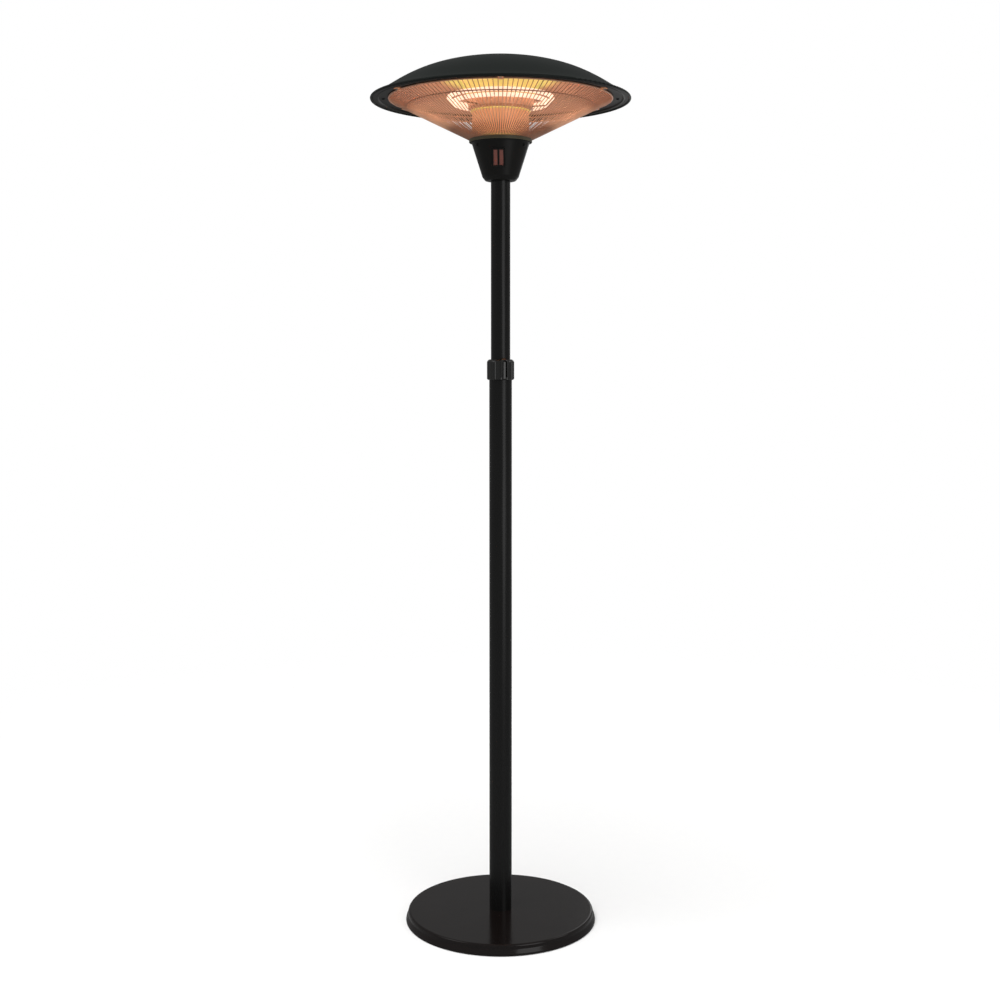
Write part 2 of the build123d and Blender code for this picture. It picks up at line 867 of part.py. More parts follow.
def switch_body(side):
    bezel = extrude(RectangleRounded(bezel_width, bezel_length, bezel_radius), amount=bezel_thickness)
    body = Pos(0, 0, -switch_body_depth) * Box(
        switch_body_width, switch_body_length, switch_body_depth,
        align=(Align.CENTER, Align.CENTER, Align.MIN))
    well = Pos(0, 0, bezel_thickness) * Box(
        well_width, well_length, bezel_thickness + well_depth,
        align=(Align.CENTER, Align.CENTER, Align.MAX))
    shape = bezel + body - well
    shape -= rocker_axle(rocker_axle_reach + rocker_axle_play,
                         rocker_axle_diameter + 2 * rocker_axle_play)
    for y in (-switch_body_length / 4, switch_body_length / 4):
        shape += Pos(0, y, -switch_body_depth) * Box(
            blade_width, blade_thickness, blade_length,
            align=(Align.CENTER, Align.CENTER, Align.MAX))
    return switch_place(side) * shape


def rocker(side):
    """Rocker cap, tilted as it stands when the heater is on."""
    end_r = well_length / 2 - rocker_end_gap
    width = well_width - 2 * rocker_side_gap
    end_x = sqrt(end_r ** 2 - rocker_top ** 2)
    low_x = sqrt(end_r ** 2 - rocker_skirt ** 2)
    top_end = (end_x, rocker_top)
    low_end = (low_x, -rocker_skirt)
    top_start = (-end_x, rocker_top)
    low_start = (-low_x, -rocker_skirt)
    outline = [
        Spline(top_start, (0, rocker_dip), top_end, tangents=[(1, -0.25), (1, 0.25)]),
        RadiusArc(top_end, low_end, end_r),
        Polyline(low_end, (rocker_root, -rocker_root), (-rocker_root, -rocker_root), low_start),
        RadiusArc(low_start, top_start, end_r),
    ]
    profile = make_face([edge for line in outline for edge in line.edges()])
    side_face = Plane(origin=(-width / 2, 0, 0), x_dir=(0, 1, 0), z_dir=(1, 0, 0))
    cap = extrude(side_face * profile, amount=width)
    cap = Pos(0, 0, -rocker_axle_depth) * Rot(-rocker_tilt, 0, 0) * cap
    cap += rocker_axle(rocker_axle_reach, rocker_axle_diameter)
    return switch_place(side) * cap


# ---- what the housing holds ----
def terminal_block():
    length, width, height = terminal_block_size
    block = Pos(0, terminal_block_y, mount_bottom_z) * Box(
        length, width, height, align=(Align.CENTER, Align.CENTER, Align.MAX))
    low = mount_bottom_z - height
    for x in terminal_places():
        block -= upright(terminal_screw_diameter, low, low + terminal_hole_depth, x, terminal_block_y)
    return block


def terminal_places():
    length = terminal_block_size[0]
    return [length * (step - 1) / 3 for step in range(3)]


def terminal_screws():
    low = mount_bottom_z - terminal_block_size[2]
    return group([
        upright(terminal_screw_diameter, low + terminal_screw_sink, low + terminal_hole_depth,
                x, terminal_block_y)
        for x in terminal_places()])


def tip_over_switch():
    x, y = tip_switch_place
    box = Pos(x, y, mount_bottom_z) * Box(
        *tip_switch_size, align=(Align.CENTER, Align.CENTER, Align.MAX))
    return fillet(box.edges().filter_by(Axis.Z), tip_switch_radius)


def thermal_cutout():
    x, y = cutout_place
    return upright(cutout_diameter, mount_bottom_z - cutout_height, mount_bottom_z, x, y)


def inner_wires():
    """Leads from the block to the two switches and up to the four lamp holders."""
    block_low = mount_bottom_z - terminal_block_size[2]
    block_face_y = terminal_block_y - terminal_block_size[1] / 2
    lead_y = terminal_block_y - lead_inset
    wires = []
    for side in (-1, 1):
        x = side * terminal_block_size[0] / 3
        blade = Pos(0, switch_body_length / 4, -switch_body_depth - blade_length - wire_end_gap)
        tip = (switch_place(side) * blade).position
        wires.append(bent_rod([(x, lead_y, block_low), (x, lead_y, tip.Z), tip], lead_bend, wire_diameter))
    lead_z = block_low + lead_lift
    starts = [terminal_block_size[0] * share / 8 for share in (3, 1, -1, -3)]
    for x, (riser_x, riser_y), holder in zip(starts, riser_places, leg_places()):
        end = (holder * Pos(0, 0, -wire_end_gap)).position
        points = [
            (x, block_face_y - wire_end_gap, lead_z),
            (riser_x, riser_y, lead_z),
            (riser_x, riser_y, end.Z),
            end,
        ]
        wires.append(bent_rod(points, riser_bend, wire_diameter))
    return group(wires)


# ---- cord gland ----
gland_flange_top = gland_seat + gland_flange_thickness


def gland_rod(diameter, low, high):
    """Round bar along the gland's axis between two distances from the housing's wall."""
    return housing_place(180.0, gland_drop, low) * Cylinder(
        diameter / 2, high - low, align=(Align.CENTER, Align.CENTER, Align.MIN))


def gland_thread():
    return gland_rod(gland_thread_diameter, -gland_thread_inside, gland_seat)


def gland_bore_rod():
    return gland_rod(gland_bore, -gland_thread_inside, gland_flange_top + dome_nut_length)


def gland_thread_out():
    return gland_rod(gland_thread_diameter, gland_flange_top, gland_flange_top + gland_thread_outside)


def cord_gland():
    flange = housing_place(180.0, gland_drop, gland_seat) * extrude(
        RegularPolygon(gland_flange / 2, 6), amount=gland_flange_thickness)
    return gland_thread() + flange + gland_thread_out() - gland_bore_rod()


def gland_nut():
    nut = gland_rod(dome_nut_diameter, gland_flange_top, gland_flange_top + dome_nut_length)
    nut = fillet(nut.edges().sort_by(Axis.Y)[-1:], dome_nut_radius)
    return nut - gland_thread_out() - gland_bore_rod()


# ---- drum, neck and reflector ----
def drum():
    wall = tube(drum_r, drum_r - drum_wall, mount_top_z, lip_z)
    foot = tube(drum_r + drum_flange, drum_r - drum_wall, mount_top_z, mount_top_z + drum_wall)
    band = bead(drum_r, mount_top_z + drum_bead_height, drum_bead)
    inside = upright(2 * (drum_r - drum_wall), mount_top_z, drum_top_z)
    rolled = bead(drum_r + lip_bead_out, lip_z, lip_bead)
    return wall + foot + (band - inside) + rolled


def neck_path():
    foot_r = neck_foot_diameter / 2
    waist_r = neck_waist_diameter / 2
    mouth_r = neck_mouth_diameter / 2
    rise = reflector_crown_z - drum_wall - neck_bead_z
    points = [
        (drum_r + lip_bead_out, neck_bead_z + lip_bead - drum_wall / 2),
        (foot_r, neck_bead_z + lip_bead + neck_foot_rise),
        (waist_r, neck_bead_z + rise * neck_waist_share),
        (waist_r + neck_flare, neck_bead_z + rise * neck_flare_share),
        (mouth_r - neck_mouth_turn, reflector_crown_z),
        (mouth_r + neck_flange, reflector_crown_z),
    ]
    bends = [neck_foot_radius, neck_bow_radius, neck_bow_radius, neck_mouth_radius]
    return FilletPolyline(*points, radius=bends)


def neck():
    body = sheet(neck_path(), drum_wall, Side.RIGHT)
    body += bead(drum_r + lip_bead_out, neck_bead_z, lip_bead)
    for place in leg_places():
        body -= place * holder_blank()
    for turn in support_turns:
        body -= around(turn) * support_blank()
    return body


def rim_top_z(r):
    """Upper face of the rim ring inside its step."""
    return lip_centre_z + rim_rise - (r - rim_inner_r) * rim_slope


def rim_under_z(r):
    """Lower face of the rim ring inside its step."""
    return rim_top_z(r) - rim_ring_wall


def reflector():
    crown = reflector_crown_z
    flat_r = neck_mouth_diameter / 2 + neck_flange + reflector_flat
    edge_r = hood_r - reflector_inset
    drop = crown - rim_top_z(edge_r)
    span = edge_r - flat_r
    shares = [(0.0, 0.0)] + reflector_shape + [(1.0, 1.0)]
    points = [(flat_r + run * span, crown - fall * drop) for run, fall in shares]
    bow = Spline(*points, tangents=[(1, 0), (1, reflector_edge_slope)])
    upper_bow = Pos(0, reflector_wall) * bow
    outline = [
        Polyline((wire_hole / 2, crown), (flat_r, crown)),
        bow,
        Line((edge_r, crown - drop), (edge_r, crown - drop + reflector_wall)),
        upper_bow,
        Polyline((flat_r, crown + reflector_wall), (wire_hole / 2, crown + reflector_wall)),
        Line((wire_hole / 2, crown + reflector_wall), (wire_hole / 2, crown)),
    ]
    section = make_face([edge for line in outline for edge in line.edges()])
    dish = revolve(Plane.XZ * section, axis=Axis.Z)
    for place in rod_places():
        dish -= tie_rod(place)
    return dish


# ---- hood ----
def hood_points(inset=0.0):
    return [
        (share * lip_centre_r, hood_apex_z - drop * hood_depth - inset)
        for share, drop in hood_shape
    ]


def hood_line(inset=0.0):
    return Spline(*hood_points(inset), tangents=[(1, 0), (1, hood_edge_slope)])


def hood_inner_z(r):
    """Height of the hood's inner face at a radius."""
    line = hood_line(hood_wall)
    near, far = 0.0, 1.0
    for _ in range(30):
        middle = (near + far) / 2
        if (line @ middle).X < r:
            near = middle
        else:
            far = middle
    return (line @ near).Y


def hood():
    outer = hood_line()
    inner = hood_line(hood_wall)
    section = make_face(
        outer.edges() + inner.edges()
        + Line(outer @ 1, inner @ 1).edges() + Line(inner @ 0, outer @ 0).edges())
    dome = revolve(Plane.XZ * section, axis=Axis.Z)
    return dome + bead(lip_centre_r, lip_centre_z, hood_lip)


def hood_bracket():
    """Dished plate that carries the hood's crown on the tie rods."""
    flat_r = rod_circle / 2 + bracket_margin
    foot_r = flat_r + bracket_rise
    rim_r = foot_r + bracket_rim
    play = hood_seat_gap + bracket_wall
    points = [
        (bracket_bore / 2, bracket_z),
        (flat_r, bracket_z),
        (foot_r, hood_inner_z(foot_r) - play),
        (rim_r, hood_inner_z(rim_r) - play),
    ]
    path = FilletPolyline(*points, radius=bracket_bend)
    plate = sheet(path, bracket_wall, Side.LEFT)
    for place in rod_places():
        plate -= tie_rod(place)
    return plate


def rim_ring():
    """Flat ring under the brim, with a turned-up hem at its bore and a rib pressed along its step."""
    wall = rim_ring_wall
    step_z = rim_top_z(rim_step_r)
    crown_r = rim_rib_crown / 2
    rib_in_r = rim_step_r - rim_rib_width / 2
    line = [
        (rib_in_r, rim_top_z(rib_in_r)),
        (rim_step_r - crown_r, step_z - rim_rib),
        (rim_step_r + crown_r, step_z - rim_rib),
        (rim_step_r + rim_rib_width / 2, step_z - rim_step),
        (rim_outer_r, lip_centre_z + wall / 2),
    ]
    bore_z = rim_top_z(rim_inner_r)
    top = [(rim_inner_r, bore_z + rim_hem), (rim_inner_r, bore_z), *line]
    hem_r = rim_inner_r - wall
    under = [(hem_r, bore_z + rim_hem), (hem_r, rim_under_z(hem_r))]
    under += [(r, z - wall) for r, z in line]
    faces = [FilletPolyline(*points, radius=rim_bend) for points in (top, under)]
    ends = [Line(faces[0] @ end, faces[1] @ end) for end in (0, 1)]
    section = make_face([edge for part in (*faces, *ends) for edge in part.edges()])
    ring = revolve(Plane.XZ * section, axis=Axis.Z)
    return ring - rim_screw_shanks() - clip_screw_shanks()


def rim_screw_turns():
    return even_turns(rim_screw_count, 180.0 / rim_screw_count)


def rim_screw_shanks():
    low = rim_under_z(rim_screw_r)
    shank = upright(rim_screw_diameter, low, low + rim_screw_length, 0, -rim_screw_r)
    return ring_of(shank, rim_screw_turns())


def rim_screws():
    low = rim_under_z(rim_screw_r)
    head = upright(rim_screw_head, low - rim_screw_head_height, low + screw_seat, 0, -rim_screw_r)
    head = fillet(head.edges().sort_by(Axis.Z)[:1], rim_screw_head_radius)
    head -= rim_solid()
    heads = ring_of(head, rim_screw_turns())
    return group([cap + shank for cap, shank in zip(heads, rim_screw_shanks())])


def rim_solid():
    """The ring without its holes, for what seats on it."""
    return spin([
        (rim_inner_r, rim_under_z(rim_inner_r)),
        (rim_step_r, rim_under_z(rim_step_r)),
        (rim_step_r, rim_top_z(rim_step_r)),
        (rim_inner_r, rim_top_z(rim_inner_r)),
    ])


def hood_spacers():
    """Blocks between the rim ring and the hood, one over each rim screw."""
    depth, width = spacer_size
    r = rim_screw_r + spacer_offset
    r0 = r - depth / 2
    r1 = r + depth / 2
    section = spin([
        (r0, rim_top_z(r0)),
        (r1, rim_top_z(r1)),
        (r1, hood_inner_z(r1) - hood_seat_gap),
        (r0, hood_inner_z(r0) - hood_seat_gap),
    ])
    wedge = Pos(0, -r, rim_top_z(r)) * Box(width, depth * 2, hood_depth)
    blocks = []
    for turn, screw in zip(rim_screw_turns(), rim_screw_shanks()):
        blocks.append((section & (around(turn) * wedge)) - screw)
    return group(blocks)


# ---- guard ----
band_inner_r = mount_plate_r
band_outer_r = band_inner_r + guard_band
band_middle_r = band_inner_r + guard_band / 2
guard_foot_z = mount_top_z + guard_wire_rise
guard_ring_r = rim_inner_r + guard_ring_inset
guard_ring_z = rim_under_z(guard_ring_r) - guard_ring_wire / 2 - guard_ring_gap
guard_slope = (guard_ring_z - guard_foot_z) / (guard_ring_r - band_middle_r)


def guard_z(r):
    """Height of the radial wires' centre line at a radius."""
    return guard_foot_z + (r - band_middle_r) * guard_slope


def wire_guard():
    spoke = rod_between((0, -band_middle_r, guard_foot_z), (0, -guard_ring_r, guard_ring_z), guard_wire)
    spokes = ring_of(spoke, even_turns(guard_wires, 180.0 / guard_wires))
    band_low = mount_top_z - guard_band_drop
    band = tube(band_outer_r, band_inner_r, band_low, band_low + guard_band_height)
    middle_r = rim_inner_r - guard_middle_inset
    lift = (guard_wire + guard_middle_wire) / 2 - guard_weld
    middle = bead(middle_r, guard_z(middle_r) + lift, guard_middle_wire / 2)
    rim = bead(guard_ring_r, guard_ring_z, guard_ring_wire / 2)
    return band.fuse(middle, rim, *spokes)


def clip_turns():
    return even_turns(rim_screw_count)


def clip_r():
    return guard_ring_r + guard_ring_wire / 2 + clip_screw_offset


def clip_outer_r():
    return clip_r() + clip_margin


def clip_low_z():
    """Underside of the clips' flat feet."""
    return rim_under_z(clip_outer_r()) - clip_wall


def clip_screw_shanks():
    low = clip_low_z()
    shank = upright(clip_screw_diameter, low, low + clip_screw_length, 0, -clip_r())
    return ring_of(shank, clip_turns())


def guard_clips():
    """Small straps that hold the guard's outer ring up against the rim ring."""
    ring_r = guard_ring_wire / 2
    inner = guard_ring_r - ring_r + clip_hook
    wall_r = guard_ring_r + ring_r
    outer = clip_outer_r()
    low = guard_ring_z - ring_r - clip_wall
    strap = spin([
        (inner, low),
        (wall_r + clip_wall, low),
        (wall_r + clip_wall, clip_low_z()),
        (outer, clip_low_z()),
        (outer, rim_under_z(outer)),
        (wall_r, rim_under_z(wall_r)),
        (wall_r, low + clip_wall),
        (inner, low + clip_wall),
    ])
    reach = 2 * (outer - inner)
    wedge = Pos(0, -guard_ring_r, guard_ring_z) * Box(clip_width, reach, reach)
    clips = []
    for turn, screw in zip(clip_turns(), clip_screw_shanks()):
        clips.append((strap & (around(turn) * wedge)) - screw)
    return group(clips)


def clip_screws():
    low = clip_low_z()
    head = upright(clip_screw_head, low - clip_screw_head_height, low, 0, -clip_r())
    head = fillet(head.edges().sort_by(Axis.Z)[:1], clip_screw_head_radius)
    heads = ring_of(head, clip_turns())
    return group([cap + shank for cap, shank in zip(heads, clip_screw_shanks())])


# ---- lamps ----
holder_foot_r = neck_waist_diameter / 2 - holder_inset
leg_foot_r = holder_foot_r + holder_length - holder_grip


def lamp_path(ring_r, turn, height):
    """Ring with a break where both ends turn in towards the neck as straight legs."""
    half_gap = lamp_leg_gap / 2
    elbow_y = half_gap + lamp_elbow
    elbow_x = sqrt((ring_r - lamp_elbow) ** 2 - elbow_y ** 2)
    meet = ring_r / (ring_r - lamp_elbow)
    touch = Vector(elbow_x * meet, elbow_y * meet)
    turned = degrees(atan2(elbow_y, elbow_x))
    mid_a = radians(-90 + (90 + turned) / 2)
    elbow_mid = Vector(elbow_x + lamp_elbow * cos(mid_a), elbow_y + lamp_elbow * sin(mid_a))
    mirror = [Vector(point.X, -point.Y) for point in (touch, elbow_mid)]
    lines = [
        Line((leg_foot_r, half_gap), (elbow_x, half_gap)),
        ThreePointArc((elbow_x, half_gap), elbow_mid, touch),
        ThreePointArc(touch, (-ring_r, 0), mirror[0]),
        ThreePointArc(mirror[0], mirror[1], (elbow_x, -half_gap)),
        Line((elbow_x, -half_gap), (leg_foot_r, -half_gap)),
    ]
    place = Pos(0, 0, height) * Rot(0, 0, turn - 90)
    return place * Wire([edge for line in lines for edge in line.edges()])


def along_lamp(path, radius):
    section = Plane(origin=path @ 0, z_dir=path % 0) * Circle(radius)
    return sweep(section, path=path)


def lamp(path):
    bore = lamp_tube / 2 - lamp_glass
    return along_lamp(path, lamp_tube / 2) - along_lamp(path, bore)


def lamp_paths():
    return [
        lamp_path(outer_ring_r, outer_lamp_turn, outer_lamp_z),
        lamp_path(inner_ring_r, inner_lamp_turn, inner_lamp_z),
    ]


def leg_places():
    """Axis of each lamp leg, with local Z away from the mast."""
    places = []
    for turn, height in ((outer_lamp_turn, outer_lamp_z), (inner_lamp_turn, inner_lamp_z)):
        for side in (-1, 1):
            plane = Plane(
                origin=(side * lamp_leg_gap / 2, -holder_foot_r, height), z_dir=(0, -1, 0))
            places.append(around(turn) * plane.location)
    return places


def holder_blank():
    return Cylinder(
        holder_diameter / 2, holder_length, align=(Align.CENTER, Align.CENTER, Align.MIN))


def lamp_holders():
    socket = Pos(0, 0, holder_length - holder_grip) * Cylinder(
        lamp_tube / 2, holder_grip, align=(Align.CENTER, Align.CENTER, Align.MIN))
    return group([place * (holder_blank() - socket) for place in leg_places()])


def support_points():
    """Rod from the neck that turns up along the underside of both tubes."""
    lean = atan2(outer_lamp_z - inner_lamp_z, outer_ring_r - inner_ring_r)
    drop = (lamp_tube + support_rod) / 2 + support_gap
    off = (drop * sin(lean), -drop * cos(lean))
    low = (inner_ring_r + off[0], inner_lamp_z + off[1])
    knee = (low[0] - support_back * cos(lean), low[1] - support_back * sin(lean))
    run = hypot(outer_ring_r - inner_ring_r, outer_lamp_z - inner_lamp_z) + support_reach
    tip = (low[0] + run * cos(lean), low[1] + run * sin(lean))
    foot = (neck_waist_diameter / 2 - support_inset, knee[1])
    return [(0, -r, z) for r, z in (foot, knee, tip)]


def support_blank():
    return bent_rod(support_points(), support_bend, support_rod)


def lamp_supports():
    return group(ring_of(support_blank(), support_turns))


# ---- write every node ----
def save(name, shape):
    export_step(shape, f"parts/{name}.step")


save("base_cover", base_cover())
save("ballast_disc", ballast_disc())
save("bottom_plate", bottom_plate())
save("bottom_plate_screws", plate_screws())
save("rubber_feet", rubber_feet())
save("pole_spigot", pole_spigot())
save("spigot_bolts", spigot_bolts())
save("pole_screw", pole_screw())
save("lower_pole", lower_pole())
save("collet", collet())
save("lock_collar", lock_collar())
save("glide_ring", glide_ring())
save("end_plug", end_plug())
save("upper_pole", upper_pole())
save("housing", housing())
save("set_screws", set_screws())
save("housing_gasket", housing_gasket())
save("housing_screws", housing_screws())
save("mounting_plate", mounting_plate())
save("tie_rods", tie_rods())
save("tie_rod_nuts", tie_rod_nuts())
for side_name, side in (("left", -1), ("right", 1)):
    save(f"{side_name}_switch_body", switch_body(side))
    save(f"{side_name}_rocker", rocker(side))
save("terminal_block", terminal_block())
save("terminal_screws", terminal_screws())
save("tip_over_switch", tip_over_switch())
save("thermal_cutout", thermal_cutout())
save("inner_wires", inner_wires())
save("cord_gland", cord_gland())
save("gland_nut", gland_nut())
save("drum", drum())
save("neck", neck())
save("reflector", reflector())
save("hood_bracket", hood_bracket())
save("hood", hood())
save("rim_ring", rim_ring())
save("rim_screws", rim_screws())
save("hood_spacers", hood_spacers())
save("wire_guard", wire_guard())
save("guard_clips", guard_clips())
save("guard_clip_screws", clip_screws())
for lamp_name, lamp_line in zip(("outer", "inner"), lamp_paths()):
    save(f"{lamp_name}_lamp", lamp(lamp_line))
    save(f"{lamp_name}_filament", along_lamp(lamp_line, filament_diameter / 2))
save("lamp_holders", lamp_holders())
save("lamp_supports", lamp_supports())
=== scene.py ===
"""Looks of an infrared patio heater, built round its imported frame.

Metres, Z up; the switches face -Y.
"""
from math import atan2, cos, hypot, pi, radians, sin, sqrt, tau

import bpy
import numpy as np
from bpy.props import FloatProperty, FloatVectorProperty, IntProperty, PointerProperty
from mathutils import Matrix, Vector


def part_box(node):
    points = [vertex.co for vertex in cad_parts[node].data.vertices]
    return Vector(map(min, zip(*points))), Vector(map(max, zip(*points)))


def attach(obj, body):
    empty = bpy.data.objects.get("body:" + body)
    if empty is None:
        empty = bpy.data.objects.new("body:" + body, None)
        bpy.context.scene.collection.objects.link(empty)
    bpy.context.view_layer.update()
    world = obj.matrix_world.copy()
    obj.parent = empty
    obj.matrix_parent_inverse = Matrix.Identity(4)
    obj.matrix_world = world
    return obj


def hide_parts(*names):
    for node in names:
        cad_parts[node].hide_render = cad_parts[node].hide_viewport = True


bl_info = {
    "name": "Patio heater",
    "version": (1, 0, 0),
    "blender": (4, 5, 0),
    "location": "View3D > Sidebar > Heater",
    "description": "Finishes and fine pieces of an infrared patio heater",
    "category": "Object",
}

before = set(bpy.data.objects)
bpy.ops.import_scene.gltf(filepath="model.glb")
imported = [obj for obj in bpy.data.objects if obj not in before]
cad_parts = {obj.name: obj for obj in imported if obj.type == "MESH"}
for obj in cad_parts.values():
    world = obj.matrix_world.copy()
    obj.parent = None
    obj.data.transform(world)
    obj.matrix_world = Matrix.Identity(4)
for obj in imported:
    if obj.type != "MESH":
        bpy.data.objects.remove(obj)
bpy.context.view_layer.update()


# ---- places in the head ----
def node_box(node):
    """Lowest and highest corner of a CAD node."""
    low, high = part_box(node)
    return low, high


GUARD_LOW, GUARD_HIGH = node_box("wire_guard")
PLATE_HIGH = node_box("mounting_plate")[1]
LAMP_LOW, LAMP_HIGH = node_box("inner_lamp")
HOUSING_LEAN = radians(17.6)    # of the housing's wall, off plumb
PAINTED_GLOW_RADIUS = 0.165              # middle of the painted glow on the guard's wires
CROWN_REACH = 0.00005           # a screw's corners this near its highest one are its crown


# ---- sizes and colours that a user may change ----
class GuardSizes(bpy.types.PropertyGroup):
    """Sizes of the wire guard."""
    wires: IntProperty(
        name="Wires", description="Radial wires round the guard", default=144, min=12)
    wire: FloatProperty(
        name="Wire", description="Diameter of a radial wire", default=0.002, unit="LENGTH")
    ring_wire: FloatProperty(
        name="Outer ring wire", description="Diameter of the outer ring's wire",
        default=0.004, unit="LENGTH")
    middle_wire: FloatProperty(
        name="Middle ring wire", description="Diameter of the middle ring's wire",
        default=0.0028, unit="LENGTH")
    middle_radius: FloatProperty(
        name="Middle ring", description="Radius of the middle ring", default=0.217, unit="LENGTH")
    band: FloatProperty(
        name="Band", description="Thickness of the base band", default=0.0023, unit="LENGTH")
    band_height: FloatProperty(
        name="Band height", description="Height of the base band", default=0.0085, unit="LENGTH")
    foot_rise: FloatProperty(
        name="Wire foot", description="Height of the wires' feet above the mounting plate",
        default=0.001, unit="LENGTH")
    weld: FloatProperty(
        name="Weld", description="Size of the weld where a wire crosses the middle ring",
        default=0.0017, unit="LENGTH")


class LampSizes(bpy.types.PropertyGroup):
    """Sizes of the heating coils, and the light of the lamps."""
    coil_wire: FloatProperty(
        name="Coil wire", description="Diameter of the heating wire",
        default=0.0007, unit="LENGTH")
    coil: FloatProperty(
        name="Coil", description="Radius of the coil's turns", default=0.0016, unit="LENGTH")
    turns: IntProperty(name="Turns", description="Turns of one coil", default=210, min=10)
    leg_gap: FloatProperty(
        name="Leg gap", description="Distance between the two legs of a lamp",
        default=0.022, unit="LENGTH")
    elbow: FloatProperty(
        name="Elbow", description="Radius of the bend between leg and ring",
        default=0.012, unit="LENGTH")
    glow: FloatProperty(
        name="Coil glow", description="Strength of the coil's light", default=1.5, min=0.0)
    haze: FloatProperty(
        name="Tube glow", description="Strength of the quartz tube's own light",
        default=1.15, min=0.0)
    light: FloatProperty(
        name="Lamp light", description="Power of the light thrown on the wide sheets",
        default=0.44, min=0.0)
    crown_light: FloatProperty(
        name="Crown light", description="Power of the light thrown on the neck's flare",
        default=0.10, min=0.0)


class Colours(bpy.types.PropertyGroup):
    """Main colours of the heater, linear."""
    hood: FloatVectorProperty(
        name="Hood", description="Powder coat of the hood", subtype="COLOR",
        default=(0.0065, 0.0090, 0.0078))
    enamel: FloatVectorProperty(
        name="Poles", description="Gloss enamel of the poles", subtype="COLOR",
        default=(0.0045, 0.0045, 0.0043))
    base: FloatVectorProperty(
        name="Base", description="Gloss enamel of the base", subtype="COLOR",
        default=(0.0045, 0.0030, 0.0027))
    copper: FloatVectorProperty(
        name="Copper", description="Anodised sheet round the lamps", subtype="COLOR",
        default=(0.80, 0.43, 0.29))
    guard: FloatVectorProperty(
        name="Guard", description="Plated wire of the guard", subtype="COLOR",
        default=(0.66, 0.34, 0.22))
    lamp: FloatVectorProperty(
        name="Lamp", description="Light of the lamps", subtype="COLOR", default=(1.0, 0.66, 0.48))
    rocker: FloatVectorProperty(
        name="Rocker", description="Lit switch rockers", subtype="COLOR",
        default=(0.125, 0.045, 0.036))


class Studio(bpy.types.PropertyGroup):
    """Camera and light of the stage."""
    lens: FloatProperty(name="Lens", description="Focal length in millimetres", default=51.06)
    distance: FloatProperty(
        name="Distance", description="Camera to the mast's axis", default=3.311, unit="LENGTH")
    height: FloatProperty(
        name="Height", description="Camera above the floor", default=1.335, unit="LENGTH")
    pitch: FloatProperty(
        name="Pitch", description="Camera's tilt below level",
        default=radians(3.543), unit="ROTATION")
    shift: FloatProperty(name="Shift", description="Vertical shift of the lens", default=-0.055)
    sun: FloatProperty(name="Overhead", description="Strength of the overhead light", default=3.2)
    sky: FloatProperty(name="Surround", description="Strength of the grey surround", default=0.2)
    panel: FloatProperty(name="Panels", description="Brightness of the soft panels", default=0.75)


GROUPS = {
    "heater_guard": GuardSizes,
    "heater_lamp": LampSizes,
    "heater_colours": Colours,
    "heater_studio": Studio,
}


# ---- node trees ----
class Signal:
    """A socket that adds Math nodes when it is used in an expression."""

    def __init__(self, nodes, socket):
        self.nodes = nodes
        self.socket = socket

    def math(self, operation, *values):
        return self.nodes.add("ShaderNodeMath", {"operation": operation}, dict(enumerate(values)))

    def __add__(self, other):
        return self.math("ADD", self, other)

    def __sub__(self, other):
        return self.math("SUBTRACT", self, other)

    def __mul__(self, other):
        return self.math("MULTIPLY", self, other)

    def __truediv__(self, other):
        return self.math("DIVIDE", self, other)

    def __pow__(self, other):
        return self.math("POWER", self, other)

    def abs(self):
        return self.math("ABSOLUTE", self)


class Nodes:
    """A node tree, and the one method that adds a node to it."""

    def __init__(self, tree):
        self.tree = tree

    def add(self, kind, settings=None, values=None, output=0):
        """Adds a node with its settings, then fills its sockets from values or signals."""
        node = self.tree.nodes.new(kind)
        for key, value in (settings or {}).items():
            setattr(node, key, value)
        for key, value in (values or {}).items():
            for item in value if isinstance(value, list) else [value]:
                if isinstance(item, Signal):
                    self.tree.links.new(item.socket, node.inputs[key])
                else:
                    node.inputs[key].default_value = item
        if isinstance(output, tuple):
            return [Signal(self, node.outputs[key]) for key in output]
        return Signal(self, node.outputs[output]) if node.outputs else node


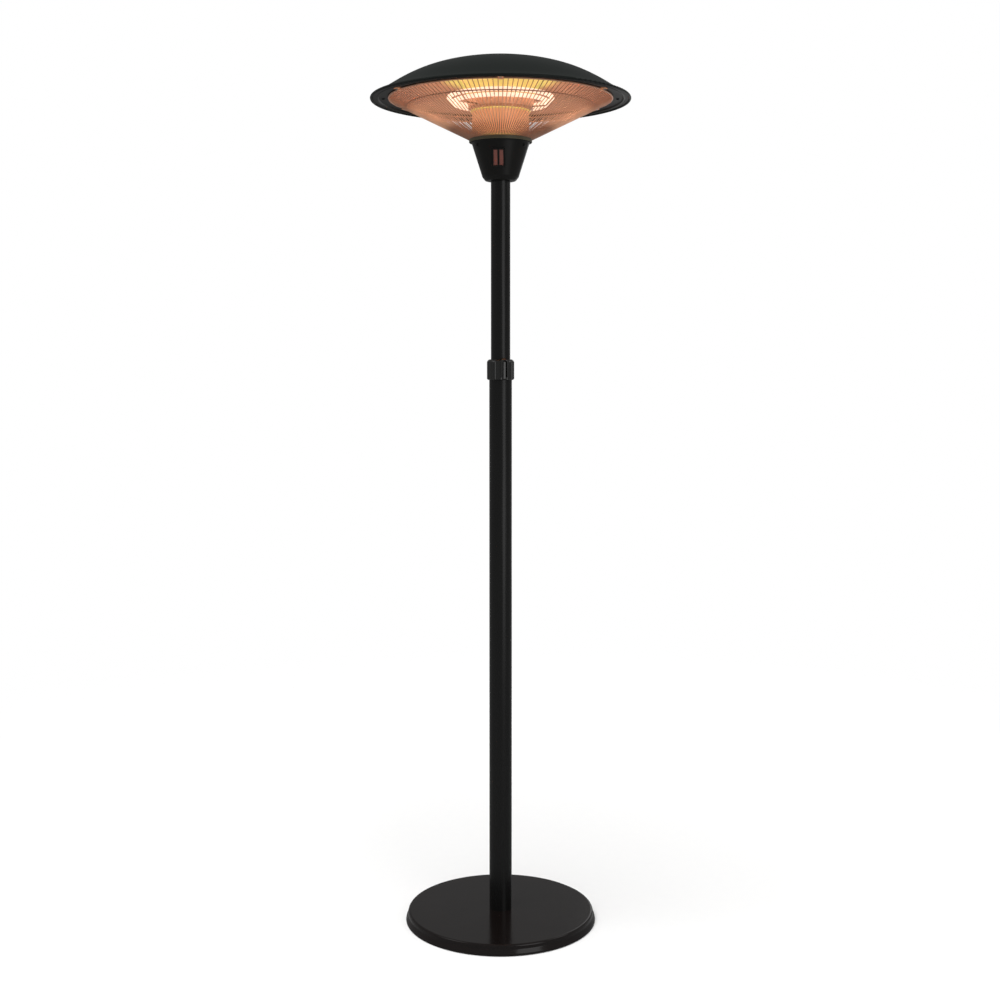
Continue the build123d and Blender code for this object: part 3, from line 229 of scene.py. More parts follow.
class Finish(Nodes):
    """One procedural material."""

    def __init__(self, name):
        self.material = bpy.data.materials.new(name)
        self.material.use_nodes = True
        super().__init__(self.material.node_tree)
        self.tree.nodes.clear()

    def place(self):
        return self.add("ShaderNodeTexCoord", output="Object")

    def stretched(self, scale):
        """Object coordinates with each axis scaled by its own factor."""
        return self.add("ShaderNodeMapping", None, {"Vector": self.place(), "Scale": scale})

    def axes(self):
        values = {"Vector": self.place()}
        return self.add("ShaderNodeSeparateXYZ", None, values, ("X", "Y", "Z"))

    @staticmethod
    def from_axis(x, y):
        """Distance from the upright axis."""
        return (x * x + y * y) ** 0.5

    def noise(self, scale, detail=3.0, roughness=0.5, vector=None):
        vector = vector or self.place()
        values = {"Vector": vector, "Scale": scale, "Detail": detail, "Roughness": roughness}
        return self.add("ShaderNodeTexNoise", None, values)

    def band(self, value, low, high, start=0.0, end=1.0):
        """Maps a value smoothly from one range to another and stays inside the second."""
        values = {
            "Value": value, "From Min": low, "From Max": high, "To Min": start, "To Max": end}
        return self.add("ShaderNodeMapRange", {"interpolation_type": "SMOOTHSTEP"}, values)

    def blend(self, first, second, factor):
        """Mix of two colours."""
        first, second = [
            (*colour, 1.0) if not isinstance(colour, Signal) and len(colour) == 3 else colour
            for colour in (first, second)
        ]
        # a Mix node has sockets of each data type: 6 and 7 are its colours, output 2 their mix
        values = {0: factor, 6: first, 7: second}
        return self.add("ShaderNodeMix", {"data_type": "RGBA"}, values, output=2)

    def join(self, x, y, z):
        return self.add("ShaderNodeCombineXYZ", None, {"X": x, "Y": y, "Z": z})

    def relief(self, height, depth):
        values = {"Height": height, "Strength": 1.0, "Distance": depth}
        return self.add("ShaderNodeBump", None, values)

    def surface(self, **sockets):
        """Principled shader and output; names of sockets are written with underscores."""
        values = {key.replace("_", " "): value for key, value in sockets.items()}
        for key, value in values.items():
            if isinstance(value, tuple) and len(value) == 3:
                values[key] = (*value, 1.0)
        shader = self.add("ShaderNodeBsdfPrincipled", None, values)
        self.add("ShaderNodeOutputMaterial", None, {"Surface": shader})
        return self.material


def shade(colour, factor):
    return tuple(channel * factor for channel in colour)


def palette():
    return bpy.context.scene.heater_colours


# ---- finishes; rough is the mean roughness ----
def powder_coat(name, colour, rough, grain=0.00002):
    """Satin powder coat: orange-peel relief, uneven sheen, a little settled dust."""
    finish = Finish(name)
    peel = finish.noise(620.0, 2.0)
    wide = finish.noise(9.0, 4.0, 0.6)
    dust = finish.band(finish.noise(190.0, 5.0, 0.7), 0.58, 0.75)
    mixed = finish.blend(shade(colour, 0.86), shade(colour, 1.18), wide)
    tone = finish.blend(mixed, shade(colour, 2.1), dust * 0.35)
    return finish.surface(
        Base_Color=tone,
        Roughness=wide * 0.10 + peel * 0.03 + (rough - 0.065),
        Specular_IOR_Level=0.27,
        Normal=finish.relief(peel, grain))


def gloss_enamel(name, colour, stretch, rough, sheen=0.5):
    """Stoved gloss enamel with faint waviness, rub marks and specks of dust."""
    finish = Finish(name)
    wave = finish.noise(14.0, 2.0, 0.4, finish.stretched(stretch))
    rubs = finish.band(finish.noise(60.0, 6.0, 0.75, finish.stretched(stretch)), 0.55, 0.8)
    specks = finish.band(finish.noise(900.0, 1.0), 0.70, 0.78)
    mixed = finish.blend(shade(colour, 0.85), shade(colour, 1.25), wave)
    tone = finish.blend(mixed, shade(colour, 2.0), specks * 0.3)
    return finish.surface(
        Base_Color=tone,
        Roughness=rubs * 0.10 + wave * 0.05 + specks * 0.03 + (rough - 0.03),
        Specular_IOR_Level=sheen,
        Normal=finish.relief(wave, 0.0004))


def spun_copper(name, colour, rough, streaks, glow, painted_ember=0.0, ends=None):
    """Copper-coloured anodised sheet: rings left by spinning, soft streaks, a little heat tint.

    It has a painted glow, yellow above the lamps or near its two ends where these are given,
    and a faint painted red-orange glow everywhere else.
    """
    finish = Finish(name)
    x, y, z = finish.axes()
    radius = finish.from_axis(x, y)
    turn = x.math("ARCTAN2", y, x)
    rings = finish.noise(1.0, 2.0, 0.6, finish.join(radius * 2600.0, z * 2600.0, turn * 1.5))
    fans = finish.noise(1.0, 3.0, 0.6, finish.join(turn * 46.0, radius * 5.0, z * 5.0))
    cloud = finish.noise(7.0, 3.0)
    mixed = finish.blend(shade(colour, 0.9), colour, fans)
    tinted = finish.blend(mixed, (0.62, 0.27, 0.22), finish.band(cloud, 0.5, 0.75) * 0.4)
    # mask of the painted yellow glow: near the ends, or above the lamps
    if ends:
        low, high = ends
        near = finish.band(z, low, low + 0.008, 1.0, 0.0) + finish.band(z, high - 0.006, high)
    else:
        above = finish.band(z, LAMP_HIGH.z, LAMP_HIGH.z + 0.02)
        near = above * finish.band(radius, 0.11, 0.15, 1.0, 0.0)
    # painted light: a faint red-orange glow and a yellow glow stand in for the lamps' light
    painted_dull_glow = shade((1.0, 0.40, 0.145), painted_ember)
    painted_gold = shade((0.62, 0.88, 0.10), glow)
    return finish.surface(
        Base_Color=tinted,
        Metallic=0.42,
        Emission_Color=finish.blend(painted_dull_glow, painted_gold, near),
        Emission_Strength=1.0,
        Roughness=rings * 0.10 + fans * (0.08 + streaks) + cloud * 0.06 + (rough - 0.10),
        Normal=finish.relief(rings + fans * 2.0, 0.00003))


def plated_wire(name, colour, rough, glow):
    """Drawn wire with bright plating, duller in places, painted darker towards the middle and
    with a painted glow where it passes the lamps.
    """
    finish = Finish(name)
    patches = finish.noise(38.0, 4.0, 0.6)
    fine = finish.noise(1500.0, 2.0)
    x, y, _ = finish.axes()
    radius = finish.from_axis(x, y)
    # painted light: the wire glows warm in a band beside the lamps
    away = (radius - PAINTED_GLOW_RADIUS).abs()
    mixed = finish.blend(shade(colour, 0.72), shade(colour, 1.2), patches)
    cold, painted_warm_glow = (0.0, 0.0, 0.0), shade((1.0, 0.60, 0.36), glow)
    # painted shade: darker towards the middle, inside radius 0.10 to 0.16
    return finish.surface(
        Base_Color=finish.blend(shade(colour, 0.6), mixed, finish.band(radius, 0.10, 0.16)),
        Emission_Color=finish.blend(cold, painted_warm_glow, finish.band(away, 0.03, 0.055, 1.0, 0.0)),
        Emission_Strength=1.0,
        Metallic=0.35,
        Roughness=patches * 0.16 + fine * 0.06 + (rough - 0.1),
        Normal=finish.relief(fine, 0.00003))


def bare_metal(name, colour, rough, grain=500.0, metallic=1.0, depth=0.00004):
    """Plain metal, cast or plated, with a fine broken surface."""
    finish = Finish(name)
    fine = finish.noise(grain, 4.0, 0.6)
    wide = finish.noise(24.0, 3.0)
    mixed = finish.blend(shade(colour, 0.75), shade(colour, 1.1), wide)
    return finish.surface(
        Base_Color=mixed,
        Metallic=metallic,
        Roughness=fine * 0.14 + wide * 0.12 + (rough - 0.1),
        Normal=finish.relief(fine, depth))


def moulded(name, colour, rough, grain=900.0, depth=0.00004, sheen=0.45):
    """Moulded plastic or rubber with a fine tooled grain."""
    finish = Finish(name)
    fine = finish.noise(grain, 3.0, 0.6)
    wide = finish.noise(30.0, 3.0)
    mixed = finish.blend(shade(colour, 0.8), shade(colour, 1.25), wide)
    return finish.surface(
        Base_Color=mixed,
        Roughness=fine * 0.12 + wide * 0.1 + (rough - 0.08),
        Specular_IOR_Level=sheen,
        Normal=finish.relief(fine, depth))


def lit_plastic(name, colour):
    """Red rocker with its lamp behind it, uneven in soft patches."""
    finish = Finish(name)
    fine = finish.noise(700.0, 2.0)
    cloud = finish.noise(160.0, 3.0)
    glow = finish.blend(shade(colour, 0.45), colour, cloud)
    return finish.surface(
        Base_Color=finish.blend(shade(colour, 1.1), shade(colour, 1.6), cloud),
        Roughness=fine * 0.08 + 0.2,
        Emission_Color=glow,
        Emission_Strength=0.5,
        Coat_Weight=0.4,
        Normal=finish.relief(fine, 0.00001))


def quartz(name, colour, strength):
    """Quartz tube, hazy with the light of the coil inside it."""
    finish = Finish(name)
    bubbles = finish.noise(420.0, 2.0)
    cloud = finish.noise(30.0, 2.0)
    haze = finish.blend(shade(colour, 0.9), (1.0, 0.72, 0.55), cloud)
    return finish.surface(
        Base_Color=finish.blend((0.30, 0.19, 0.15), (0.42, 0.30, 0.25), cloud),
        Roughness=bubbles * 0.08 + 0.08,
        Alpha=cloud * 0.14 + 0.5,
        Emission_Color=haze,
        Emission_Strength=strength,
        Normal=finish.relief(bubbles, 0.00002))


def glowing_wire(name, colour, strength):
    """Heating wire, a little cooler in patches."""
    finish = Finish(name)
    cloud = finish.noise(60.0, 2.0)
    return finish.surface(
        Base_Color=finish.blend((0.1, 0.06, 0.04), (0.2, 0.12, 0.08), cloud),
        Roughness=cloud * 0.1 + 0.5,
        Emission_Color=finish.blend(shade(colour, 0.85), colour, cloud),
        Emission_Strength=strength)


def pale_floor():
    """Floor that fades out away from the heater."""
    finish = Finish("studio_floor")
    fine = finish.noise(40.0, 3.0)
    x, y, _ = finish.axes()
    away = finish.from_axis(x, y)
    return finish.surface(
        Base_Color=finish.blend((0.88, 0.88, 0.88), (0.9, 0.9, 0.895), fine),
        Roughness=fine * 0.1 + 0.7,
        Specular_IOR_Level=0.1,
        Alpha=finish.band(away, 0.7, 3.2, 1.0, 0.0))


def white_air():
    finish = Finish("studio_air")
    return finish.surface(
        Base_Color=(0.0, 0.0, 0.0),
        Roughness=1.0,
        Specular_IOR_Level=0.0,
        Emission_Color=(1.0, 1.0, 1.0),
        Emission_Strength=1.0)


def shared(kind, name, *values):
    """A finish that several operators use, made by the first of them."""
    return bpy.data.materials.get(name) or kind(name, *values)


def zinc():
    return shared(bare_metal, "zinc_finish", (0.62, 0.62, 0.6), 0.32, 700.0)


def nylon():
    return shared(moulded, "nylon_finish", (0.02, 0.02, 0.02), 0.45)


def black_screw():
    return shared(bare_metal, "black_screw_finish", (0.02, 0.02, 0.02), 0.36, 900.0, 0.6)


# ---- pieces ----
def dress(material, *nodes):
    """Gives CAD nodes a finish."""
    for node in nodes:
        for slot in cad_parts[node].material_slots:
            slot.material = material


def add_piece(name, mesh, body, slot, *replaced):
    """Puts a piece on a body in place of the CAD nodes that it replaces."""
    piece = bpy.data.objects.new(name, mesh)
    bpy.context.scene.collection.objects.link(piece)
    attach(piece, body)
    if replaced:
        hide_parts(*replaced)


def mesh_of(name, points, faces, material=None, smooth=True):
    mesh = bpy.data.meshes.new(name)
    mesh.from_pydata([tuple(point) for point in points], [], faces)
    mesh.update()
    mesh.polygons.foreach_set("use_smooth", [smooth] * len(mesh.polygons))
    if material:
        mesh.materials.append(material)
    return mesh


def spun_mesh(name, outline, steps, material):
    """Closed outline of (radius, height) corners turned round the mast's axis, faces outwards."""
    points = [
        (radius * cos(tau * step / steps), radius * sin(tau * step / steps), height)
        for step in range(steps)
        for radius, height in outline
    ]
    count = len(outline)
    faces = []
    for step in range(steps):
        ahead = (step + 1) % steps
        for corner in range(count):
            after = (corner + 1) % count
            faces.append((
                step * count + corner, ahead * count + corner,
                ahead * count + after, step * count + after))
    mesh = mesh_of(name, points, faces, material)
    mesh.set_sharp_from_angle(angle=radians(35))
    return mesh


def tube_mesh(name, line, radius, sides, material):
    """Round bar with closed ends along a line of points."""
    line = [Vector(point) for point in line]
    points = []
    for index, point in enumerate(line):
        ahead = line[min(index + 1, len(line) - 1)] - line[max(index - 1, 0)]
        ahead.normalize()
        side = ahead.cross(Vector((0, 0, 1)))
        side = side.normalized() if side.length > 1e-6 else Vector((1, 0, 0))
        up = side.cross(ahead)
        for step in range(sides):
            turn = tau * step / sides
            points.append(point + side * (radius * cos(turn)) + up * (radius * sin(turn)))
    faces = []
    for index in range(len(line) - 1):
        for step in range(sides):
            after = (step + 1) % sides
            low, high = index * sides, (index + 1) * sides
            faces.append((low + step, low + after, high + after, high + step))
    faces.append(tuple(reversed(range(sides))))
    last = (len(line) - 1) * sides
    faces.append(tuple(range(last, last + sides)))
    return mesh_of(name, points, faces, material)


# ---- Geometry Nodes ----
class Recipe(Nodes):
    """A Geometry Nodes tree with named inputs."""

    def __init__(self, name, inputs):
        super().__init__(bpy.data.node_groups.new(name, "GeometryNodeTree"))
        interface = self.tree.interface
        interface.new_socket("Geometry", in_out="OUTPUT", socket_type="NodeSocketGeometry")
        self.keys = {}
        for label, kind in {**inputs, "Material": "NodeSocketMaterial"}.items():
            socket = interface.new_socket(label, in_out="INPUT", socket_type=kind)
            self.keys[label] = socket.identifier
        self.source = self.tree.nodes.new("NodeGroupInput")

    def input(self, label):
        return Signal(self, self.source.outputs[label])

    def tube(self, curve, radius, sides):
        """Round bar along a curve."""
        ring = self.add("GeometryNodeCurvePrimitiveCircle", None, {
            "Resolution": sides, "Radius": radius})
        values = {"Curve": curve, "Profile Curve": ring, "Fill Caps": True}
        return self.add("GeometryNodeCurveToMesh", None, values)

    def close(self, parts):
        """Realises the parts, gives them the material and ends the tree."""
        joined = self.add("GeometryNodeJoinGeometry", None, {"Geometry": parts})
        plain = self.add("GeometryNodeRealizeInstances", None, {"Geometry": joined})
        values = {"Geometry": plain, "Material": self.input("Material")}
        finished = self.add("GeometryNodeSetMaterial", None, values)
        self.add("NodeGroupOutput", None, {0: finished})

    def grow(self, name, values, seed_mesh=None):
        """Runs the tree and returns its result as a plain mesh."""
        holder = bpy.data.objects.new(name, seed_mesh or bpy.data.meshes.new(name))
        bpy.context.scene.collection.objects.link(holder)
        modifier = holder.modifiers.new("Recipe", "NODES")
        modifier.node_group = self.tree
        for label, value in values.items():
            modifier[self.keys[label]] = value
        bpy.context.view_layer.update()
        graph = bpy.context.evaluated_depsgraph_get()
        mesh = bpy.data.meshes.new_from_object(holder.evaluated_get(graph), depsgraph=graph)
        holder.modifiers.remove(modifier)
        bpy.data.objects.remove(holder)
        return mesh


LENGTH = "NodeSocketFloat"
COUNT = "NodeSocketInt"


def guard_recipe():
    """Radial wires, the two rings they are welded to, and the welds."""
    recipe = Recipe("guard_wires", {
        "Wires": COUNT, "Wire": LENGTH, "Foot Radius": LENGTH, "Foot Height": LENGTH,
        "Ring Radius": LENGTH, "Ring Height": LENGTH, "Ring Wire": LENGTH,
        "Middle Radius": LENGTH, "Middle Height": LENGTH, "Middle Wire": LENGTH, "Weld": LENGTH,
    })
    wires = recipe.input("Wires")
    wire_sides, ring_sides, ring_steps = 8, 12, 288
    start = recipe.add("ShaderNodeCombineXYZ", None, {
        "X": recipe.input("Foot Radius"), "Z": recipe.input("Foot Height")})
    end = recipe.add("ShaderNodeCombineXYZ", None, {
        "X": recipe.input("Ring Radius"), "Z": recipe.input("Ring Height")})
    line = recipe.add("GeometryNodeCurvePrimitiveLine", None, {"Start": start, "End": end})
    spoke = recipe.tube(line, recipe.input("Wire") * 0.5, wire_sides)
    index = recipe.add("GeometryNodeInputIndex")
    turn = recipe.add("ShaderNodeCombineXYZ", None, {"Z": (index + 0.5) * tau / wires})
    spots = recipe.add("GeometryNodePoints", None, {"Count": wires})
    spokes = recipe.add("GeometryNodeInstanceOnPoints", None, {
        "Points": spots, "Instance": spoke, "Rotation": turn})
    bead = recipe.add("GeometryNodeMeshIcoSphere", None, {
        "Radius": recipe.input("Weld"), "Subdivisions": 1})
    crossing = recipe.add("ShaderNodeCombineXYZ", None, {
        "X": recipe.input("Middle Radius"),
        "Z": recipe.input("Middle Height") - recipe.input("Middle Wire") * 0.5})
    weld = recipe.add("GeometryNodeTransform", None, {"Geometry": bead, "Translation": crossing})
    welds = recipe.add("GeometryNodeInstanceOnPoints", None, {
        "Points": spots, "Instance": weld, "Rotation": turn})
    rings = []
    for label in ("Ring", "Middle"):
        circle = recipe.add("GeometryNodeCurvePrimitiveCircle", None, {
            "Resolution": ring_steps, "Radius": recipe.input(f"{label} Radius")})
        bar = recipe.tube(circle, recipe.input(f"{label} Wire") * 0.5, ring_sides)
        lift = recipe.add("ShaderNodeCombineXYZ", None, {"Z": recipe.input(f"{label} Height")})
        rings.append(recipe.add("GeometryNodeTransform", None, {
            "Geometry": bar, "Translation": lift}))
    recipe.close([spokes, welds, *rings])
    return recipe


def screw_recipe():
    """One screw on each point, turned to the point's own direction."""
    recipe = Recipe("screws", {"Points": "NodeSocketGeometry", "Screw": "NodeSocketObject"})
    shape = recipe.add(
        "GeometryNodeObjectInfo", None, {"Object": recipe.input("Screw")}, "Geometry")
    out = recipe.add(
        "GeometryNodeInputNamedAttribute", {"data_type": "FLOAT_VECTOR"},
        {"Name": "out"}, "Attribute")
    turned = recipe.add("FunctionNodeAlignRotationToVector", {"axis": "Z"}, {"Vector": out})
    screws = recipe.add("GeometryNodeInstanceOnPoints", None, {
        "Points": recipe.input("Points"), "Instance": shape, "Rotation": turned})
    recipe.close([screws])
    return recipe


def screw_mesh(radius, height, shank_radius, shank_length):
    """Domed head with a cross recess, its crown at the origin and its shank down -Z."""
    sides = 24
    slot = radius * 0.16
    reach = radius * 0.58
    depth = height * 0.55
    crown, roundness = height * 0.45, 2.6
    shares = (0.0, 0.12, 0.2, 0.32, 0.45, 0.56, 0.62, 0.75, 0.9, 1.0)
    points = []
    for share in shares:
        for step in range(sides):
            turn = tau * step / sides
            x, y = radius * share * cos(turn), radius * share * sin(turn)
            inside = min(abs(x), abs(y)) < slot and hypot(x, y) < reach
            drop = crown * share ** roundness
            points.append((x, y, -drop - (depth * (1 - 0.3 * share) if inside else 0.0)))
    for ring_radius, z in (
            (radius, -height), (shank_radius, -height), (shank_radius, -height - shank_length)):
        points += [
            (ring_radius * cos(tau * step / sides), ring_radius * sin(tau * step / sides), z)
            for step in range(sides)]
    rings = len(shares) + 3
    faces = []
    for ring in range(rings - 1):
        for step in range(sides):
            after = (step + 1) % sides
            low, high = ring * sides, (ring + 1) * sides
            faces.append((low + step, high + step, high + after, low + after))
    faces.append(tuple(reversed(range((rings - 1) * sides, rings * sides))))
    mesh = mesh_of("screw_shape", points, faces)
    mesh.set_sharp_from_angle(angle=radians(40))
    return mesh


def loose_parts(node):
    """Corners of each separate solid of a CAD node, as arrays."""
    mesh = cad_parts[node].data
    corners = np.array([vertex.co for vertex in mesh.vertices]).reshape(-1, 3)
    keys, where = np.unique(np.round(corners, 6), axis=0, return_inverse=True)
    where = where.ravel()
    parent = list(range(len(keys)))

    def root(index):
        while parent[index] != index:
            parent[index] = parent[parent[index]]
            index = parent[index]
        return index

    for polygon in mesh.polygons:
        first, *others = [where[vertex] for vertex in polygon.vertices]
        for other in others:
            parent[root(other)] = root(first)
    roots = np.array([root(index) for index in range(len(keys))])
    return [keys[roots == label] for label in np.unique(roots)]


def screw_row(name, node, body, slot, material, direction, head, shank):
    """Screws with cross recesses in place of a CAD node's plain ones."""
    seats, ways = [], []
    for part in loose_parts(node):
        way = Vector(direction(part.mean(axis=0))).normalized()
        reach = part @ np.array(way)
        crown = part[reach > reach.max() - CROWN_REACH].mean(axis=0)
        seats.append(crown)
        ways.append(way)
    points = bpy.data.meshes.new(f"{name}_seats")
    points.from_pydata([tuple(seat) for seat in seats], [], [])
    attribute = points.attributes.new("out", "FLOAT_VECTOR", "POINT")
    attribute.data.foreach_set("vector", [value for way in ways for value in way])
    shape = bpy.data.objects.new("screw_shape", screw_mesh(*head, *shank))
    bpy.context.scene.collection.objects.link(shape)
    mesh = screw_recipe().grow(name, {"Screw": shape, "Material": material}, points)
    bpy.data.objects.remove(shape)
    add_piece(name, mesh, body, slot, node)


# ---- operators ----
class Builder(bpy.types.Operator):
    """Shared by the heater's operators."""
    bl_options = {"REGISTER", "UNDO"}

    def execute(self, context):
        self.build(context.scene)
        return {"FINISHED"}


class HEATER_OT_base(Builder):
    """Weighted base: enamelled cover, ballast, bottom plate and feet"""
    bl_idname = "heater.base"
    bl_label = "Base"

    def build(self, scene):
        enamel = gloss_enamel("base_finish", palette().base, (1.0, 1.0, 1.0), rough=0.16)
        dress(enamel, "base_cover")
        iron = bare_metal(
            "cast_iron_finish", (0.16, 0.155, 0.15), rough=0.65, grain=380.0, metallic=0.8,
            depth=0.0003)
        dress(iron, "ballast_disc", "pole_spigot")
        dress(powder_coat("black_sheet_finish", (0.012, 0.012, 0.012), rough=0.55),
              "bottom_plate", "hood_spacers")
        dress(moulded("rubber_finish", (0.012, 0.012, 0.012), rough=0.8), "rubber_feet")
        dress(zinc(), "bottom_plate_screws", "spigot_bolts", "pole_screw")


class HEATER_OT_mast(Builder):
    """Lower and upper poles with their slide"""
    bl_idname = "heater.mast"
    bl_label = "Mast"

    def build(self, scene):
        drawn = (8.0, 8.0, 0.35)    # marks drawn out along the pole
        dress(gloss_enamel("pole_finish", palette().enamel, drawn, rough=0.27, sheen=0.45),
              "lower_pole", "upper_pole")
        dress(nylon(), "collet", "glide_ring", "end_plug")


class HEATER_OT_lock(Builder):
    """Fluted grip ring of the twist lock"""
    bl_idname = "heater.lock"
    bl_label = "Twist lock"

    def build(self, scene):
        grip = moulded(
            "grip_finish", (0.005, 0.005, 0.0043), rough=0.2, grain=1100.0, depth=0.00002,
            sheen=1.0)
        dress(grip, "lock_collar")


class HEATER_OT_housing(Builder):
    """Switch housing with its screws, gland and what it holds"""
    bl_idname = "heater.housing"
    bl_label = "Housing"

    def build(self, scene):
        coat = powder_coat("housing_finish", (0.0085, 0.0085, 0.0078), rough=0.36, grain=0.00004)
        dress(coat, "housing")
        dress(moulded("gasket_finish", (0.03, 0.028, 0.02), rough=0.6), "housing_gasket")
        dress(zinc(), "mounting_plate", "tie_rods", "tie_rod_nuts", "hood_bracket")
        dress(moulded("switch_plastic_finish", (0.008, 0.008, 0.008), rough=0.34),
              "left_switch_body", "right_switch_body", "tip_over_switch", "cord_gland",
              "gland_nut")
        ceramic = bare_metal(
            "ceramic_finish", (0.78, 0.75, 0.68), rough=0.7, grain=420.0, metallic=0.0)
        dress(ceramic, "terminal_block", "thermal_cutout", "lamp_holders")
        dress(bare_metal("brass_finish", (0.72, 0.5, 0.2), rough=0.3), "terminal_screws")
        sleeve = moulded(
            "sleeve_finish", (0.7, 0.66, 0.58), rough=0.8, grain=1400.0, depth=0.0002)
        dress(sleeve, "inner_wires")
        dress(black_screw(), "set_screws")


class HEATER_OT_switches(Builder):
    """Two lit rockers"""
    bl_idname = "heater.switches"
    bl_label = "Rocker switches"

    def build(self, scene):
        dress(lit_plastic("rocker_finish", palette().rocker), "left_rocker", "right_rocker")


class HEATER_OT_copper(Builder):
    """Drum, neck and reflector of copper-coloured sheet"""
    bl_idname = "heater.copper"
    bl_label = "Copper sheets"

    def build(self, scene):
        copper = palette().copper
        low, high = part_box("drum")
        ends = (low.z, high.z)
        # the glow values paint the lamps' light on these sheets
        dish = spun_copper("reflector_finish", copper, rough=0.36, streaks=0.05, glow=0.40)
        dress(dish, "reflector")
        dress(spun_copper("neck_finish", copper, rough=0.36, streaks=0.08, glow=0.40), "neck")
        drum = spun_copper(
            "drum_finish", copper, rough=0.38, streaks=0.04, glow=0.5, painted_ember=0.29, ends=ends)
        dress(drum, "drum")


class HEATER_OT_hood(Builder):
    """Hood, rim ring and the clips that hold the guard"""
    bl_idname = "heater.hood"
    bl_label = "Hood"

    def build(self, scene):
        dress(powder_coat("hood_finish", palette().hood, rough=0.46), "hood")
        # near-black paint; its olive tint is a painted reflection of the copper sheets' light
        dress(powder_coat("rim_finish", (0.010, 0.0088, 0.0058), rough=0.42), "rim_ring")
        # the clips get a faint painted glow in place of the lamps' light
        clip = spun_copper(
            "clip_finish", palette().copper, rough=0.4, streaks=0.04, glow=0.0, painted_ember=0.16)
        dress(clip, "guard_clips")


class HEATER_OT_guard(Builder):
    """Radial wires, rings and base band of the guard, and the rods under the lamps"""
    bl_idname = "heater.guard"
    bl_label = "Wire guard"

    def build(self, scene):
        sizes = scene.heater_guard
        band_inner = PLATE_HIGH.x
        foot_radius = band_inner + sizes.band / 2
        foot_height = PLATE_HIGH.z + sizes.foot_rise
        ring_radius = GUARD_HIGH.x - sizes.ring_wire / 2
        ring_height = GUARD_HIGH.z - sizes.ring_wire / 2
        slope = (ring_height - foot_height) / (ring_radius - foot_radius)
        bite = sizes.wire / 5       # how deep the middle ring is welded into the wires
        lift = (sizes.wire + sizes.middle_wire) / 2 - bite
        mesh = guard_recipe().grow("guard_wires", {
            "Wires": sizes.wires,
            "Wire": sizes.wire,
            "Foot Radius": foot_radius,
            "Foot Height": foot_height,
            "Ring Radius": ring_radius,
            "Ring Height": ring_height,
            "Ring Wire": sizes.ring_wire,
            "Middle Radius": sizes.middle_radius,
            "Middle Height": foot_height + (sizes.middle_radius - foot_radius) * slope + lift,
            "Middle Wire": sizes.middle_wire,
            "Weld": sizes.weld,
            # glow sets the painted glow on the wires beside the lamps
            "Material": plated_wire("guard_finish", palette().guard, rough=0.32, glow=0.16),
        })
        mesh.polygons.foreach_set("use_smooth", [True] * len(mesh.polygons))
        mesh.set_sharp_from_angle(angle=radians(60))
        add_piece("guard_wires", mesh, "mast", "guard_wire", "wire_guard")
        edge = sizes.band / 5       # bevel of the band's outer corners
        low, high = GUARD_LOW.z, GUARD_LOW.z + sizes.band_height
        inner, outer = band_inner, band_inner + sizes.band
        outline = [
            (inner, low), (outer - edge, low), (outer, low + edge), (outer, high - edge),
            (outer - edge, high), (inner, high),
        ]
        metal = bare_metal(
            "band_finish", (0.12, 0.11, 0.068), rough=0.4, grain=800.0, metallic=0.25)
        add_piece("guard_band", spun_mesh("guard_band", outline, steps=144, material=metal),
                  "mast", "guard_wire", "wire_guard")
        # the rods take the same painted glow and painted shade as the guard's wires
        rods = plated_wire("support_finish", (0.5, 0.28, 0.18), rough=0.42, glow=0.3)
        dress(rods, "lamp_supports")


class HEATER_OT_lamps(Builder):
    """Quartz tubes and the glowing coils in them"""
    bl_idname = "heater.lamps"
    bl_label = "Lamps"

    def build(self, scene):
        sizes = scene.heater_lamp
        light = tuple(palette().lamp)
        dress(quartz("quartz_finish", light, sizes.haze), "outer_lamp", "inner_lamp")
        wire = glowing_wire("coil_finish", (1.0, 0.72, 0.42), sizes.glow)
        for side, turn in (("outer", 160.0), ("inner", 200.0)):
            node = f"{side}_filament"
            low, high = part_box(node)
            radius = high.x - (high.z - low.z) / 2
            line = lamp_line(sizes, radius, (low.z + high.z) / 2, leg_end(f"{side}_lamp"), turn)
            coil = coiled(line, sizes)
            mesh = tube_mesh(
                f"{side}_coil", coil, radius=sizes.coil_wire / 2, sides=4, material=wire)
            add_piece(f"{side}_coil", mesh, "mast", "filament", node)
        ring = LAMP_HIGH.x
        wide = ring * 1.32
        below, above = LAMP_LOW.z - 0.004, LAMP_HIGH.z + 0.021
        self.lights(scene, "sheet_light", wide, below, sizes.light, (1.0, 0.80, 0.60))
        self.lights(scene, "crown_light", ring, above, sizes.crown_light, (1.0, 0.78, 0.36))

    @staticmethod
    def lights(scene, name, radius, height, power, colour):
        """Circle of small lights that throw the lamps' light on the sheets and stay unseen."""
        count = 8
        for index in range(count):
            turn = tau * (index + 0.5) / count
            data = bpy.data.lights.new(f"{name}_{index}", "POINT")
            data.energy = power / count
            data.color = colour
            data.shadow_soft_size = 0.004
            light = bpy.data.objects.new(f"{name}_{index}", data)
            scene.collection.objects.link(light)
            light.location = (radius * cos(turn), radius * sin(turn), height)
            light.visible_camera = False
            light.visible_glossy = False
            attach(light, "mast")


def leg_end(node):
    """How near the mast's axis a lamp's legs come."""
    corners = np.array([vertex.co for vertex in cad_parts[node].data.vertices])
    return float(np.hypot(corners[:, 0], corners[:, 1]).min())


